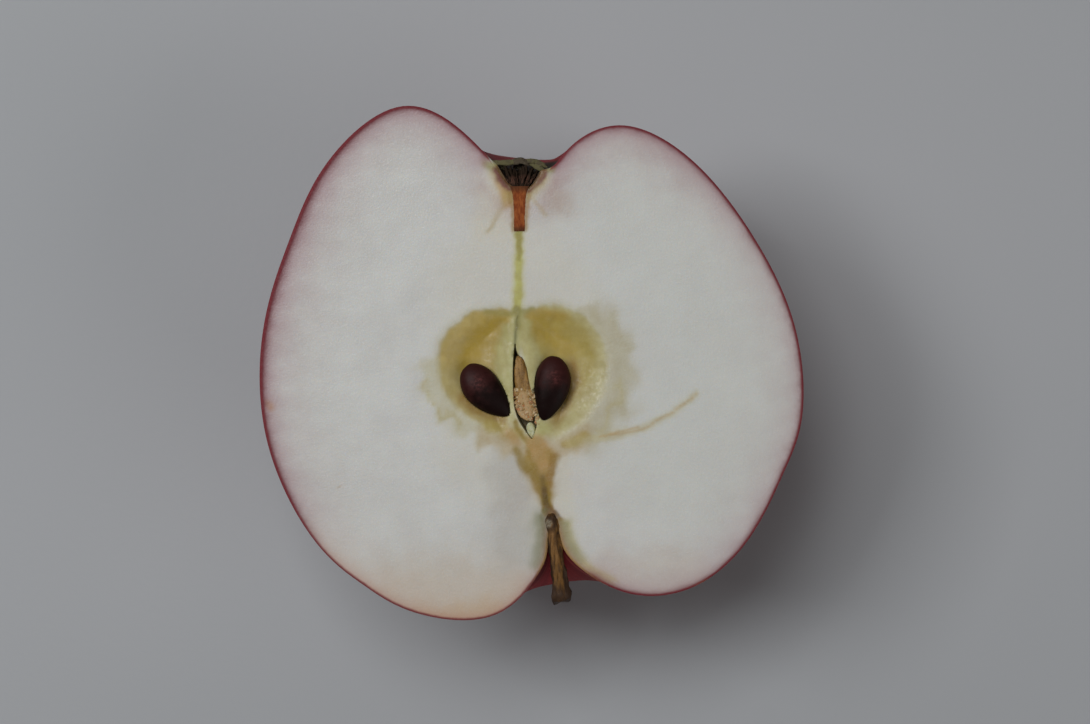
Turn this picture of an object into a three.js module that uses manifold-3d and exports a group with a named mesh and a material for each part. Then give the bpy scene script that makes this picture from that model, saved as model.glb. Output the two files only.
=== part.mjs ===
// Half of an apple, cut lengthwise through the core and lying on its round back.
//
// Millimetres. +Z is up, out of the cut face. +Y runs along the core towards the calyx, the
// dried flower end, and -Y towards the stem. The origin is on the table, under the middle of
// the fruit. The flesh is one solid with its skin. The pips, the loose husk between them, the
// unripe pip, the dried flower, its style tube and the stem lie in it as pieces of their own.

import * as THREE from 'three';
import { LoftGeometry } from 'three/addons/geometries/LoftGeometry.js';
import { ParametricGeometry } from 'three/addons/geometries/ParametricGeometry.js';
import * as BufferGeometryUtils from 'three/addons/utils/BufferGeometryUtils.js';
import Module from 'manifold-3d';

const wasm = await Module();
wasm.setup();

// ---------------------------------------------------------------- driving dimensions

// The fruit: how deep the half is, and the small flat that it rests on.
const HALF_DEPTH = 35.9;
const REST_FLAT_DEPTH = 0.3;
const CUT_HEIGHT = HALF_DEPTH - REST_FLAT_DEPTH;

// The core line leans a little: it joins the floor of the stem hollow to the calyx basin.
const HOLLOW_FLOOR = new THREE.Vector2(2.7, -21.1);
const BASIN_FLOOR = new THREE.Vector2(-1.6, 27);

// The two sides of the cut, as control points of a cubic B-spline. Each is a distance from the
// core line and a height along it, from the hollow's floor out round the cheek to the basin.
const LEFT_SIDE = [
  [0, -21.1], [1, -26.6], [1.5, -28.3], [8.3, -36.9], [21.4, -35.1],
  [26.8, -30.9], [33.3, -26.2], [39.9, -11.1], [38.2, 5.9], [32.7, 17.4],
  [28, 27.8], [14.9, 38.9], [5.4, 30.5], [3.1, 26.7], [0, 27],
];
const RIGHT_SIDE = [
  [0, -21.1], [1, -23.5], [1, -27], [9.4, -33.3], [19.9, -31.9],
  [28.1, -24.4], [33.1, -14.8], [36.8, -8.2], [37.1, 5.2], [32.5, 16.7],
  [25, 28.6], [14.7, 34.8], [6.4, 30], [4.8, 26.4], [0, 27],
];

// The shoulder round the stem and the crown round the calyx are lower at the back than at the
// cut, and carry the low knobs of a five-celled fruit. Each station is a control point's place,
// counted along the outline. Each ridge fades over one width towards the core and another
// towards the cheek, and the sign of a width is the way it lies along the outline. A power
// below one makes the drop set in soon behind the cut.
const SHOULDER = { station: 4, drop: 3.4, knob: 0.15, inward: -1.7, outward: 2.2 };
const CROWN = { station: 11, drop: 5.4, knob: 0.3, inward: 1.2, outward: -2 };
const DIP_POWER = 0.8;
const KNOBS = 5;
const CHEEK_KNOB = 0.2;

// Within about this radius of the core line, the knobs and drops fade out to a single point.
const CORE_CALM = 3;

// Clearance between a loose piece and the flesh round it.
const GAP = 0.3;

// The seed chambers: middle, half sizes across and along the core, and depth.
const CHAMBERS = [
  { x: -7.5, y: -0.8, across: 5, along: 7.6, depth: 2.7, turn: 0.12 },
  { x: 4.6, y: -0.6, across: 5.7, along: 8.6, depth: 2.7, turn: -0.1 },
];

// A pip's outline, as shares of its breadth and length, from the blunt end to the tip.
const PIP_SIDE = [
  [0, 0.5], [0.22, 0.5], [0.56, 0.24], [0.45, -0.18], [0.15, -0.46], [0.03, -0.5], [0, -0.5],
];

// The pips: blunt end and tip, widest breadth, thickness, how far the middle bows to the left of
// the way from blunt end to tip, and depth of the middle below the cut.
const LEFT_PIP = {
  blunt: [-9.18, -0.58], tip: [-3.12, -7.35], breadth: 5.05, thickness: 2.9, bow: -0.25, sink: 0.5,
};
const RIGHT_PIP = {
  blunt: [3.3, 0.9], tip: [1.69, -7.99], breadth: 4.91, thickness: 2.9, bow: 0.33, sink: 0.4,
};

// The torn middle of the core, that holds the husk and the unripe pip.
const CORE_TEAR = [
  [-2.1, 3.6], [-1.8, 1.2], [-0.6, -0.8], [0.3, -2.6], [0.5, -6.5], [0.8, -7.8],
  [1, -8.8], [0.7, -9.9], [0.1, -10.8], [-0.6, -10], [-1.3, -8.9], [-2.2, -7.6],
  [-2.75, -5], [-2.8, -3], [-2.6, -0.5], [-2.4, 1.5],
];
const TEAR_DEPTH = 2.6;
const UNRIPE_PIP = {
  blunt: [-0.2, -8.45], tip: [0.2, -10.4], breadth: 1.15, thickness: 1, bow: 0, sink: 0.5,
};

// The husk: a wedge from a slim top to a broad foot, sunk below the cut, flatter than round. Its
// ends are rounded off, and lumps wind round it and along it.
const HUSK = {
  top: [-1.8, 0.6], foot: [-0.9, -7.3], topRadius: 0.3, footRadius: 1.15, sink: 1.1, flatness: 0.7,
};
const HUSK_END = { squareness: 6, leastRadius: 0.05 };
const HUSK_LUMPS = { height: 0.16, round: 5, twist: 9, along: 17 };

// The calyx tube, a funnel open to the basin, as radius and height along the core.
const CALYX_X = -1.65;
const CALYX_FUNNEL = [
  [0, 17.9], [0.9, 18.05], [1.1, 23.7], [1.3, 24.4], [2.3, 25.2], [3.05, 26.4], [3.4, 27.6],
  [3.4, 30.5], [0, 30.5],
];
const STYLE = { foot: 18.3, head: 24, footRadius: 0.6, headRadius: 0.8 };
const FLOWER_CUP = [[0, 24.4], [0.8, 24.5], [1.9, 25.4], [2.6, 26.6], [2.75, 27.4], [0, 27.6]];
const SEPALS = [
  { around: 15, lean: -26, length: 3.2, breadth: 2.2 },
  { around: 62, lean: 20, length: 3.1, breadth: 2 },
  { around: 112, lean: 28, length: 3, breadth: 2.2 },
  { around: 163, lean: 44, length: 3.3, breadth: 2 },
];
const SEPAL_THICKNESS = 0.6;
const SEPAL_ROOT = { radius: 2.1, along: 26.6, sunk: 0.6 };

// The stem: places along it, with its radius and its height above the cut at each.
const STEM = [
  { x: 2.75, y: -21, radius: 0.5, rise: -0.5 },
  { x: 2.85, y: -21.7, radius: 0.9, rise: -0.4 },
  { x: 3, y: -23.4, radius: 0.86, rise: -0.25 },
  { x: 3.4, y: -26.6, radius: 0.92, rise: -0.1 },
  { x: 3.85, y: -29.3, radius: 1.08, rise: 0 },
  { x: 4.15, y: -31.6, radius: 1.28, rise: 0.05 },
  { x: 4.2, y: -32.8, radius: 1.37, rise: 0.05 },
  { x: 4.2, y: -33.3, radius: 1.15, rise: 0.05 },
];

// Mesh fineness.
const AZIMUTH_STEPS = 36;
const STATION_STEPS = 60;
const PIP_SIDES = 20;
const DISH_SIDES = 24;
const DISH_RINGS = 16;
const PIP_RINGS = 12;
const TEAR_POINTS = 30;
const HUSK_RINGS = 9;
const HUSK_SIDES = 12;
const ROUND_SIDES = 14;
const SEPAL_SIDES = 8;

// The blocks that trim the pieces reach past the whole fruit.
const BLOCK_WIDTH = 200;
const BLOCK_HEIGHT = 10;

// ---------------------------------------------------------------- solids

// A closed geometry as a manifold solid, with its shared corners merged.
function solidOf(geometry) {
  const bare = new THREE.BufferGeometry();
  bare.setAttribute('position', geometry.getAttribute('position'));
  bare.setIndex(geometry.getIndex());
  const merged = BufferGeometryUtils.mergeVertices(bare);
  const corners = merged.index.array;
  const kept = [];
  for (let i = 0; i < corners.length; i += 3) {
    const [a, b, c] = [corners[i], corners[i + 1], corners[i + 2]];
    if (a !== b && b !== c && c !== a) kept.push(a, b, c);
  }
  const mesh = new wasm.Mesh({
    numProp: 3,
    vertProperties: new Float32Array(merged.attributes.position.array),
    triVerts: new Uint32Array(kept),
  });
  return new wasm.Manifold(mesh);
}

// A manifold solid as a three.js geometry.
function geometryOf(solid) {
  const mesh = solid.getMesh();
  const geometry = new THREE.BufferGeometry();
  geometry.setAttribute('position', new THREE.BufferAttribute(mesh.vertProperties, 3));
  geometry.setIndex(new THREE.BufferAttribute(mesh.triVerts, 1));
  return geometry;
}

// A wide block with its underside at a height, to trim what is above that height.
function blockAbove(height) {
  const block = new THREE.BoxGeometry(BLOCK_WIDTH, BLOCK_WIDTH, BLOCK_HEIGHT);
  block.translate(0, 0, height + BLOCK_HEIGHT / 2);
  return solidOf(block);
}

// ---------------------------------------------------------------- the fruit's form

// A point on a uniform cubic B-spline that starts and ends on its end control points.
function splinePoint(control, share) {
  const spans = control.length - 1;
  const place = Math.min(share * spans, spans - 1e-9);
  const first = Math.floor(place);
  const t = place - first;
  const weights = [
    (1 - t) ** 3,
    3 * t ** 3 - 6 * t ** 2 + 4,
    -3 * t ** 3 + 3 * t ** 2 + 3 * t + 1,
    t ** 3,
  ];
  const at = (index, axis) => {
    if (index < 0) return 2 * control[0][axis] - control[1][axis];
    if (index > spans) return 2 * control[spans][axis] - control[spans - 1][axis];
    return control[index][axis];
  };
  const point = [0, 0];
  for (let k = 0; k < 4; k += 1) {
    point[0] += weights[k] * at(first - 1 + k, 0) / 6;
    point[1] += weights[k] * at(first - 1 + k, 1) / 6;
  }
  return point;
}

// How much a place on the outline belongs to the shoulder or the crown: one on its ridge, fading
// over a width of its own towards the core and towards the cheek.
function nearness(share, ridge) {
  const offset = share * (LEFT_SIDE.length - 1) - ridge.station;
  const width = offset * ridge.inward > 0 ? ridge.inward : ridge.outward;
  return Math.exp(-((offset / width) ** 2));
}

// The widest reach of the mean of the two sides, which sets the depth of the back.
function meanReach() {
  let reach = 0;
  for (let step = 0; step <= STATION_STEPS; step += 1) {
    const share = step / STATION_STEPS;
    const mean = (splinePoint(LEFT_SIDE, share)[0] + splinePoint(RIGHT_SIDE, share)[0]) / 2;
    reach = Math.max(reach, mean);
  }
  return reach;
}
const BACK_SCALE = HALF_DEPTH / meanReach();

function coreX(y) {
  const share = (y - HOLLOW_FLOOR.y) / (BASIN_FLOOR.y - HOLLOW_FLOOR.y);
  return HOLLOW_FLOOR.x + (BASIN_FLOOR.x - HOLLOW_FLOOR.x) * share;
}

// A point of the skin. Azimuth runs from the right side of the cut, 0, under the fruit to the
// left side, pi. The share runs along the outline from the hollow's floor to the basin's.
function skinPoint(azimuth, share, target) {
  const right = splinePoint(RIGHT_SIDE, share);
  const left = splinePoint(LEFT_SIDE, share);
  const rightness = (1 + Math.cos(azimuth)) / 2;
  const backness = Math.sin(azimuth) ** 2;
  const dip = backness ** DIP_POWER;
  const knob = Math.sin(KNOBS * azimuth);
  let radius = left[0] + (right[0] - left[0]) * rightness;
  radius *= 1 + (BACK_SCALE - 1) * backness;
  const offCore = 1 - Math.exp(-((radius / CORE_CALM) ** 2));
  const shoulder = offCore * nearness(share, SHOULDER);
  const crown = offCore * nearness(share, CROWN);
  radius += CHEEK_KNOB * knob * Math.sin(Math.PI * share) * offCore;
  let y = left[1] + (right[1] - left[1]) * rightness;
  y += shoulder * (SHOULDER.drop * dip - SHOULDER.knob * knob);
  y -= crown * (CROWN.drop * dip - CROWN.knob * knob);
  const x = coreX(y) + radius * Math.cos(azimuth);
  return target.set(x, y, CUT_HEIGHT - radius * Math.sin(azimuth));
}

// The skin from one side of the cut to the other, closed by the flat cut face.
function makeWholeFlesh() {
  const skin = new ParametricGeometry(
    (u, v, target) => skinPoint(u * Math.PI, v, target),
    AZIMUTH_STEPS,
    STATION_STEPS,
  );
  const outline = [];
  const corner = new THREE.Vector3();
  for (let step = 0; step < STATION_STEPS; step += 1) {
    skinPoint(0, step / STATION_STEPS, corner);
    outline.push(new THREE.Vector2(corner.x, corner.y));
  }
  for (let step = STATION_STEPS; step > 0; step -= 1) {
    skinPoint(Math.PI, step / STATION_STEPS, corner);
    outline.push(new THREE.Vector2(corner.x, corner.y));
  }
  const face = new THREE.ShapeGeometry(new THREE.Shape(outline));
  face.translate(0, 0, CUT_HEIGHT);
  return solidOf(BufferGeometryUtils.mergeGeometries([skin, face]));
}

// ---------------------------------------------------------------- pieces of the core

// A flattened drop from its blunt end to its tip, grown by a margin all round.
function makeDrop(drop, margin = 0) {
  const dx = drop.tip[0] - drop.blunt[0];
  const dy = drop.tip[1] - drop.blunt[1];
  const length = Math.hypot(dx, dy) + 2 * margin;
  const profile = [];
  for (let ring = PIP_RINGS; ring >= 0; ring -= 1) {
    const [radius, along] = splinePoint(PIP_SIDE, ring / PIP_RINGS);
    profile.push(new THREE.Vector2(Math.max(radius, 0), along));
  }
  profile[0].x = 0;
  profile[PIP_RINGS].x = 0;
  const geometry = new THREE.LatheGeometry(profile, PIP_SIDES);
  const places = geometry.getAttribute('position');
  const breadth = drop.breadth + 2 * margin;
  for (let index = 0; index < places.count; index += 1) {
    const bend = drop.bow * (1 - (2 * places.getY(index)) ** 2);
    places.setX(index, places.getX(index) * breadth + bend);
  }
  geometry.scale(1, length, drop.thickness + 2 * margin);
  geometry.rotateZ(Math.atan2(dy, dx) + Math.PI / 2);
  const middleX = (drop.tip[0] + drop.blunt[0]) / 2;
  const middleY = (drop.tip[1] + drop.blunt[1]) / 2;
  geometry.translate(middleX, middleY, CUT_HEIGHT - drop.sink);
  return geometry;
}

// A seed chamber: a smooth dish that the knife has opened.
function makeChamber(chamber) {
  const dish = new THREE.SphereGeometry(1, DISH_SIDES, DISH_RINGS);
  dish.rotateX(Math.PI / 2);
  dish.scale(chamber.across, chamber.along, chamber.depth);
  dish.rotateZ(chamber.turn);
  dish.translate(chamber.x, chamber.y, CUT_HEIGHT);
  return solidOf(dish);
}

// The tear between the chambers, straight down from the cut.
function makeTear() {
  const outline = new THREE.SplineCurve(
    [...CORE_TEAR, CORE_TEAR[0]].map(([x, y]) => new THREE.Vector2(x, y)),
  );
  const shape = new THREE.Shape(outline.getPoints(TEAR_POINTS).slice(0, -1));
  const tear = new THREE.ExtrudeGeometry(shape, { depth: 2 * TEAR_DEPTH, bevelEnabled: false });
  tear.translate(0, 0, CUT_HEIGHT - TEAR_DEPTH);
  return solidOf(tear);
}

// The dry husk in the tear: a lumpy wedge that widens towards the stem.
function makeHusk() {
  const sections = [];
  for (let ring = 0; ring <= HUSK_RINGS; ring += 1) {
    const share = ring / HUSK_RINGS;
    const rounding = Math.sqrt(1 - (2 * share - 1) ** HUSK_END.squareness) + HUSK_END.leastRadius;
    const radius = (HUSK.topRadius + (HUSK.footRadius - HUSK.topRadius) * share) * rounding;
    const x = HUSK.top[0] + (HUSK.foot[0] - HUSK.top[0]) * share;
    const y = HUSK.top[1] + (HUSK.foot[1] - HUSK.top[1]) * share;
    const section = [];
    for (let side = 0; side < HUSK_SIDES; side += 1) {
      const angle = side / HUSK_SIDES * 2 * Math.PI;
      const round = Math.sin(HUSK_LUMPS.round * angle + HUSK_LUMPS.twist * share);
      const along = Math.cos(HUSK_LUMPS.along * share + angle);
      const reach = radius * (1 + HUSK_LUMPS.height * round * along);
      section.push(new THREE.Vector3(
        x + reach * Math.cos(angle),
        y,
        CUT_HEIGHT - HUSK.sink + HUSK.flatness * reach * Math.sin(angle),
      ));
    }
    sections.push(section);
  }
  return new LoftGeometry(sections, { capStart: true, capEnd: true });
}

// ---------------------------------------------------------------- calyx and stem

// A turned shape about the calyx tube's own line, which runs along Y in the cut plane.
function turnedAlongCore(profile) {
  const points = profile.map(([radius, along]) => new THREE.Vector2(radius, along));
  const turned = new THREE.LatheGeometry(points, ROUND_SIDES);
  turned.translate(CALYX_X, 0, CUT_HEIGHT);
  return turned;
}

// The style tube's lining: a slim column, flush with the cut.
function makeStyleColumn() {
  const column = turnedAlongCore([
    [0, STYLE.foot],
    [STYLE.footRadius, STYLE.foot],
    [STYLE.headRadius, STYLE.head],
    [0, STYLE.head],
  ]);
  return geometryOf(solidOf(column).subtract(blockAbove(CUT_HEIGHT)));
}

// The dried flower: a cup of withered stamens with the stubs of the sepals on its rim.
function makeCalyx() {
  let calyx = solidOf(turnedAlongCore(FLOWER_CUP));
  for (const sepal of SEPALS) {
    const blade = new THREE.ConeGeometry(1, sepal.length, SEPAL_SIDES, 1);
    blade.translate(0, sepal.length / 2 - SEPAL_ROOT.sunk, 0);
    blade.scale(SEPAL_THICKNESS / 2, 1, sepal.breadth / 2);
    blade.rotateZ(THREE.MathUtils.degToRad(sepal.lean));
    blade.translate(SEPAL_ROOT.radius, 0, 0);
    blade.rotateY(THREE.MathUtils.degToRad(sepal.around));
    blade.translate(CALYX_X, SEPAL_ROOT.along, CUT_HEIGHT);
    calyx = calyx.add(solidOf(blade));
  }
  return geometryOf(calyx.subtract(blockAbove(CUT_HEIGHT)));
}

// The woody stem, whole, grown by a margin all round.
function makeStem(margin = 0) {
  const sections = STEM.map((place, index) => {
    const section = [];
    const before = STEM[Math.max(index - 1, 0)];
    const after = STEM[Math.min(index + 1, STEM.length - 1)];
    const along = new THREE.Vector2(after.x - before.x, after.y - before.y).normalize();
    const isEnd = index === 0 ? -1 : Number(index === STEM.length - 1);
    const radius = place.radius + margin;
    for (let side = 0; side < ROUND_SIDES; side += 1) {
      const angle = side / ROUND_SIDES * 2 * Math.PI;
      const out = radius * Math.cos(angle);
      section.push(new THREE.Vector3(
        place.x + along.y * out + along.x * margin * isEnd,
        place.y - along.x * out + along.y * margin * isEnd,
        CUT_HEIGHT + place.rise - radius * Math.sin(angle),
      ));
    }
    return section;
  });
  return new LoftGeometry(sections, { capStart: true, capEnd: true });
}

// ---------------------------------------------------------------- the flesh with its recesses

function makeAppleHalf() {
  let flesh = makeWholeFlesh().subtract(blockAbove(-BLOCK_HEIGHT));
  for (const chamber of CHAMBERS) flesh = flesh.subtract(makeChamber(chamber));
  for (const pip of [LEFT_PIP, RIGHT_PIP]) {
    flesh = flesh.subtract(solidOf(makeDrop(pip, GAP)));
  }
  flesh = flesh.subtract(makeTear());
  flesh = flesh.subtract(solidOf(turnedAlongCore(CALYX_FUNNEL)));
  flesh = flesh.subtract(solidOf(makeStem(GAP)));
  return geometryOf(flesh);
}

// ---------------------------------------------------------------- assembly

function material(color, roughness) {
  return new THREE.MeshStandardMaterial({ color, roughness, metalness: 0 });
}

const group = new THREE.Group();

function addPiece(name, geometry, finish) {
  const mesh = new THREE.Mesh(geometry, finish);
  mesh.name = name;
  group.add(mesh);
}

const pipFinish = material(0x2a140f, 0.3);
addPiece('apple_half', makeAppleHalf(), material(0xe9e6dc, 0.55));
addPiece('seed_left', makeDrop(LEFT_PIP), pipFinish);
addPiece('seed_right', makeDrop(RIGHT_PIP), pipFinish);
addPiece('aborted_seed', makeDrop(UNRIPE_PIP), material(0xc9cbb4, 0.5));
addPiece('core_husk', makeHusk(), material(0xa9783f, 0.9));
addPiece('style_column', makeStyleColumn(), material(0xa0552c, 0.8));
addPiece('calyx', makeCalyx(), material(0x3b3a28, 0.9));
addPiece('stem', makeStem(), material(0x6f4a2a, 0.85));

export default group;
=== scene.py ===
"""Half of an apple, cut face up, dressed over its plain solids.

The file is laid out as a Blender add-on. Sizes and places are in millimetres, in the frame of
the part: +Y along the core to the dried flower, -Y to the stem, +Z up out of the cut face.
"""

import math

import bpy
import numpy as np
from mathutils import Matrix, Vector


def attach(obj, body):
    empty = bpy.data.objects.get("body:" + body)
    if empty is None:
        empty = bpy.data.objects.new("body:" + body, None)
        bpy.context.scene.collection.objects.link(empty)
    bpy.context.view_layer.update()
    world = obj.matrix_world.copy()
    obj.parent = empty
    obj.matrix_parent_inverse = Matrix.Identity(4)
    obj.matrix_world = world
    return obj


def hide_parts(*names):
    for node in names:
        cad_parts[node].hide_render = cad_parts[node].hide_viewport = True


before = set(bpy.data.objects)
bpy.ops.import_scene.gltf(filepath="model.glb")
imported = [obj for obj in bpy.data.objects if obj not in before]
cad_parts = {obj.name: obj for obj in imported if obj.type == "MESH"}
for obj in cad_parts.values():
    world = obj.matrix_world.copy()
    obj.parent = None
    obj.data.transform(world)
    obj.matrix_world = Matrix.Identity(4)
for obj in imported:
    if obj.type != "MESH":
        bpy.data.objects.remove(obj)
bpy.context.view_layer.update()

bl_info = {
    "name": "Apple half",
    "version": (1, 0, 0),
    "blender": (4, 5, 0),
    "location": "View3D > Sidebar > Apple half",
    "description": "Models half of an apple with its pips, husk, dried flower and stem",
    "category": "Add Mesh",
}

MM = 0.001

# ------------------------------------------------------------------ the form of the fruit

# The same control points as the solid's: distance from the core line, height along it.
LEFT_SIDE = [
    (0, -21.1), (1, -26.6), (1.5, -28.3), (8.3, -36.9), (21.4, -35.1),
    (26.8, -30.9), (33.3, -26.2), (39.9, -11.1), (38.2, 5.9), (32.7, 17.4),
    (28, 27.8), (14.9, 38.9), (5.4, 30.5), (3.1, 26.7), (0, 27),
]
RIGHT_SIDE = [
    (0, -21.1), (1, -23.5), (1, -27), (9.4, -33.3), (19.9, -31.9),
    (28.1, -24.4), (33.1, -14.8), (36.8, -8.2), (37.1, 5.2), (32.5, 16.7),
    (25, 28.6), (14.7, 34.8), (6.4, 30), (4.8, 26.4), (0, 27),
]
HOLLOW_FLOOR = (2.7, -21.1)
BASIN_FLOOR = (-1.6, 27.0)
SHOULDER = {"station": 4, "drop": 3.4, "knob": 0.15, "inward": -1.7, "outward": 2.2}
CROWN = {"station": 11, "drop": 5.4, "knob": 0.3, "inward": 1.2, "outward": -2}
DIP_POWER = 0.8
KNOBS = 5
CHEEK_KNOB = 0.2
CORE_CALM = 3
# The outline's share that lies in the stem hollow, and from where it lies by the flower.
STEM_SHARE = 0.3
FLOWER_SHARE = 0.8
SIDE_PLACES = 61
RIM_PLACES = 260
# A distance from the rim that stands for no rim at all.
NO_RIM = 9
# How far the knife's edge is rounded off, where the cut meets the skin.
EDGE_DROP = 0.14

# The open pit of the dried flower, sunk in the basin: height of its wall over its radius.
PIT_RADIUS = (0, 0.95, 1.95, 2.75, 3.1)
PIT_HEIGHT = (24.2, 24.3, 25.1, 26.3, 27.5)

# Lines across the cut, as (share of the outline, height on the core line, lines up to it).
CUT_LINES = [
    (0, -21.1, 0), (0.15, -19.5, 14), (0.3, -16.5, 20), (0.44, -12, 18), (0.6, 8, 124),
    (0.72, 15, 22), (0.84, 19.5, 22), (0.92, 21.3, 14), (1, 24.2, 18),
]
# Points along each line, as (share of the way from core to skin, points up to it).
CUT_POINTS = [(0, 0), (0.105, 34), (0.342, 44), (0.934, 40), (0.98, 5), (0.992, 3), (1, 3)]
SKIN_STEPS = 72
# Points this close to the edge of a hollow are moved onto it.
EDGE_REACH = 0.085
NEARLY_ONE = 0.9999

# ------------------------------------------------------------------ the core

LEFT_CHAMBER = [
    (-2.5, 6.6), (-5.6, 7.25), (-8.2, 6.8), (-10.5, 5.3), (-12.2, 3.2), (-12.9, 0.9),
    (-12.6, -1.9), (-11.8, -4), (-10.4, -5.8), (-8.3, -7.6), (-5.8, -8.9), (-3.8, -9.4),
    (-3.0, -5.9), (-2.9, 0.4),
]
RIGHT_CHAMBER = [
    (-1.3, 6.6), (0.5, 7.6), (3.4, 8), (6.3, 6.9), (8.5, 5.1), (10, 2.6), (10.5, -0.1),
    (10.1, -3), (8.8, -5.8), (6.5, -8.6), (4.1, -10), (2.4, -10.2), (1.4, -9), (0.9, -5.2),
    (-0.5, 1.5),
]
CHAMBER_DEPTH = 1.6
CHAMBER_SLOPE = 4.4
# The torn gap between the chambers, and how deep and steep its walls are.
TEAR = [
    (-2.2, 3.4), (-2.46, 1.5), (-2.6, -0.5), (-2.6, -3), (-2.52, -5), (-2.35, -6.4),
    (-1.9, -7.8), (-1.25, -8.9), (-0.55, -9.9), (0.05, -10.6), (0.3, -10.35), (0.55, -9.6),
    (0.8, -8.6), (0.6, -7.7), (0.35, -6.5), (0.3, -4.6), (-0.1, -3.4), (-0.4, -2),
    (-0.6, -0.8), (-1.1, 0.5), (-1.7, 1), (-2.1, 2),
]
TEAR_DEPTH = 2.3
TEAR_SLOPE = 0.3
# The thin wall between the gap and the right pip is worn down under the crumbs of husk.
WORN_WALL = [(0.55, -3.9), (0.6, -5), (0.6, -6), (0.85, -7.6)]
STYLE_GROOVE = {"x": -1.65, "foot": 18.32, "head": 25.0, "radius": 0.72,
                "flare": 0.5, "flare_from": 22.6, "flare_to": 24.4}
# Middles of the openings in the rim, where no red shows in the flesh.
FLOWER_MOUTH = (STYLE_GROOVE["x"], 26.5)
STEM_MOUTH = (3.4, -24)

LEFT_PIP = {"blunt": (-9.18, -0.58), "tip": (-3.12, -7.35), "breadth": 5.05,
            "thickness": 2.9, "bow": -0.25, "sink": 0.5}
RIGHT_PIP = {"blunt": (3.3, 0.9), "tip": (1.69, -7.99), "breadth": 4.91,
             "thickness": 2.9, "bow": 0.33, "sink": 0.4}
UNRIPE_PIP = {"blunt": (-0.25, -8.3), "tip": (0.2, -10.5), "breadth": 1.2, "thickness": 1,
              "bow": 0, "sink": 0.5}
PIP_ROOM = 0.1
# The side view of a pip, as shares of its breadth and length.
PIP_SIDE = [
    (0, 0.5), (0.22, 0.5), (0.56, 0.24), (0.45, -0.18), (0.15, -0.46), (0.03, -0.5), (0, -0.5),
]

# ------------------------------------------------------------------ colours


def tone(red, green, blue):
    """A colour as it looks under these lamps, in 8-bit steps, as the surface's own colour."""
    gain = 1.78
    steps = np.array([red, green, blue]) / 255
    light = np.where(steps > 0.04045, ((steps + 0.055) / 1.055) ** 2.4, steps / 12.92)
    return tuple(float(v) for v in np.clip(light * gain, 0, 1))


FLESH = tone(179, 180, 177)
FLESH_SHADE = tone(173, 173, 170)
# Painted glints: white specks that stand in for light caught by the moist cells.
PAINTED_GLINT = tone(208, 208, 208)
FLESH_RIGHT = tone(173, 175, 170)
CREAM = tone(178, 175, 162)
WARM = tone(170, 160, 147)
SHADY = tone(160, 150, 141)
OCHRE = tone(150, 131, 70)
DEEP_OCHRE = tone(149, 127, 52)
UPPER_OCHRE = tone(168, 150, 92)
LEFT_RIDGE = tone(150, 145, 96)
LOW_OCHRE = tone(162, 149, 102)
# Painted shadow of the pips on the chamber walls beside them.
PIP_SHADOW_OCHRE = tone(126, 98, 46)
OLIVE_OCHRE = tone(151, 137, 75)
ORANGE_OCHRE = tone(159, 137, 68)
PALE_OCHRE = tone(163, 155, 112)
FAR_OCHRE = tone(162, 156, 116)
HALO = tone(167, 164, 142)
FAR_HALO = tone(158, 152, 124)
LOW_HALO = tone(164, 152, 126)
RIDGE = tone(166, 161, 116)
RIDGE_GREEN = tone(158, 155, 106)
LINE = tone(163, 162, 96)
LINE_HALO = tone(173, 172, 140)
OLIVE = tone(124, 102, 30)
DARK_OLIVE = tone(74, 60, 4)
TRUNK = tone(88, 70, 16)
TRUNK_OCHRE = tone(141, 117, 50)
TRUNK_BROWN = tone(130, 102, 44)
GREY_FLESH = tone(157, 155, 149)
# Greenish flesh with painted shade, on the way into the stem hollow.
SHADED_HOLLOW_GREEN = tone(114, 117, 90)
TAN = tone(161, 131, 86)
BROWN = tone(142, 116, 68)
BARK_STAIN = tone(50, 34, 22)
# Near black: the painted shade deep in the flower pit, and dark patches on the sepals.
DARK_AND_PIT_SHADE = tone(34, 25, 17)
LEAF_GREEN = tone(128, 126, 76)
LINE_DARK = tone(132, 126, 62)
STEM_GREEN = tone(84, 86, 40)
STEM_OLIVE = tone(100, 76, 26)
RIM_TAN = tone(142, 80, 70)
PIT_EDGE = tone(84, 54, 34)
PIT_RED = tone(98, 54, 46)
BLUSH = tone(136, 95, 104)
BLUSH_TAN = tone(160, 132, 108)
RIM_YELLOW = tone(168, 140, 92)

# Where the lining of the style tube darkens to its ends, and where painted shade turns the stamens
# black at their feet and where they meet the sepals.
STYLE_FOOT = (18.4, 19.3)
STYLE_HEAD = (23.2, 24.4)
STAMEN_FOOT = (24.5, 25.1)
STAMEN_TOP = (25.6, 26.3)
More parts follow.
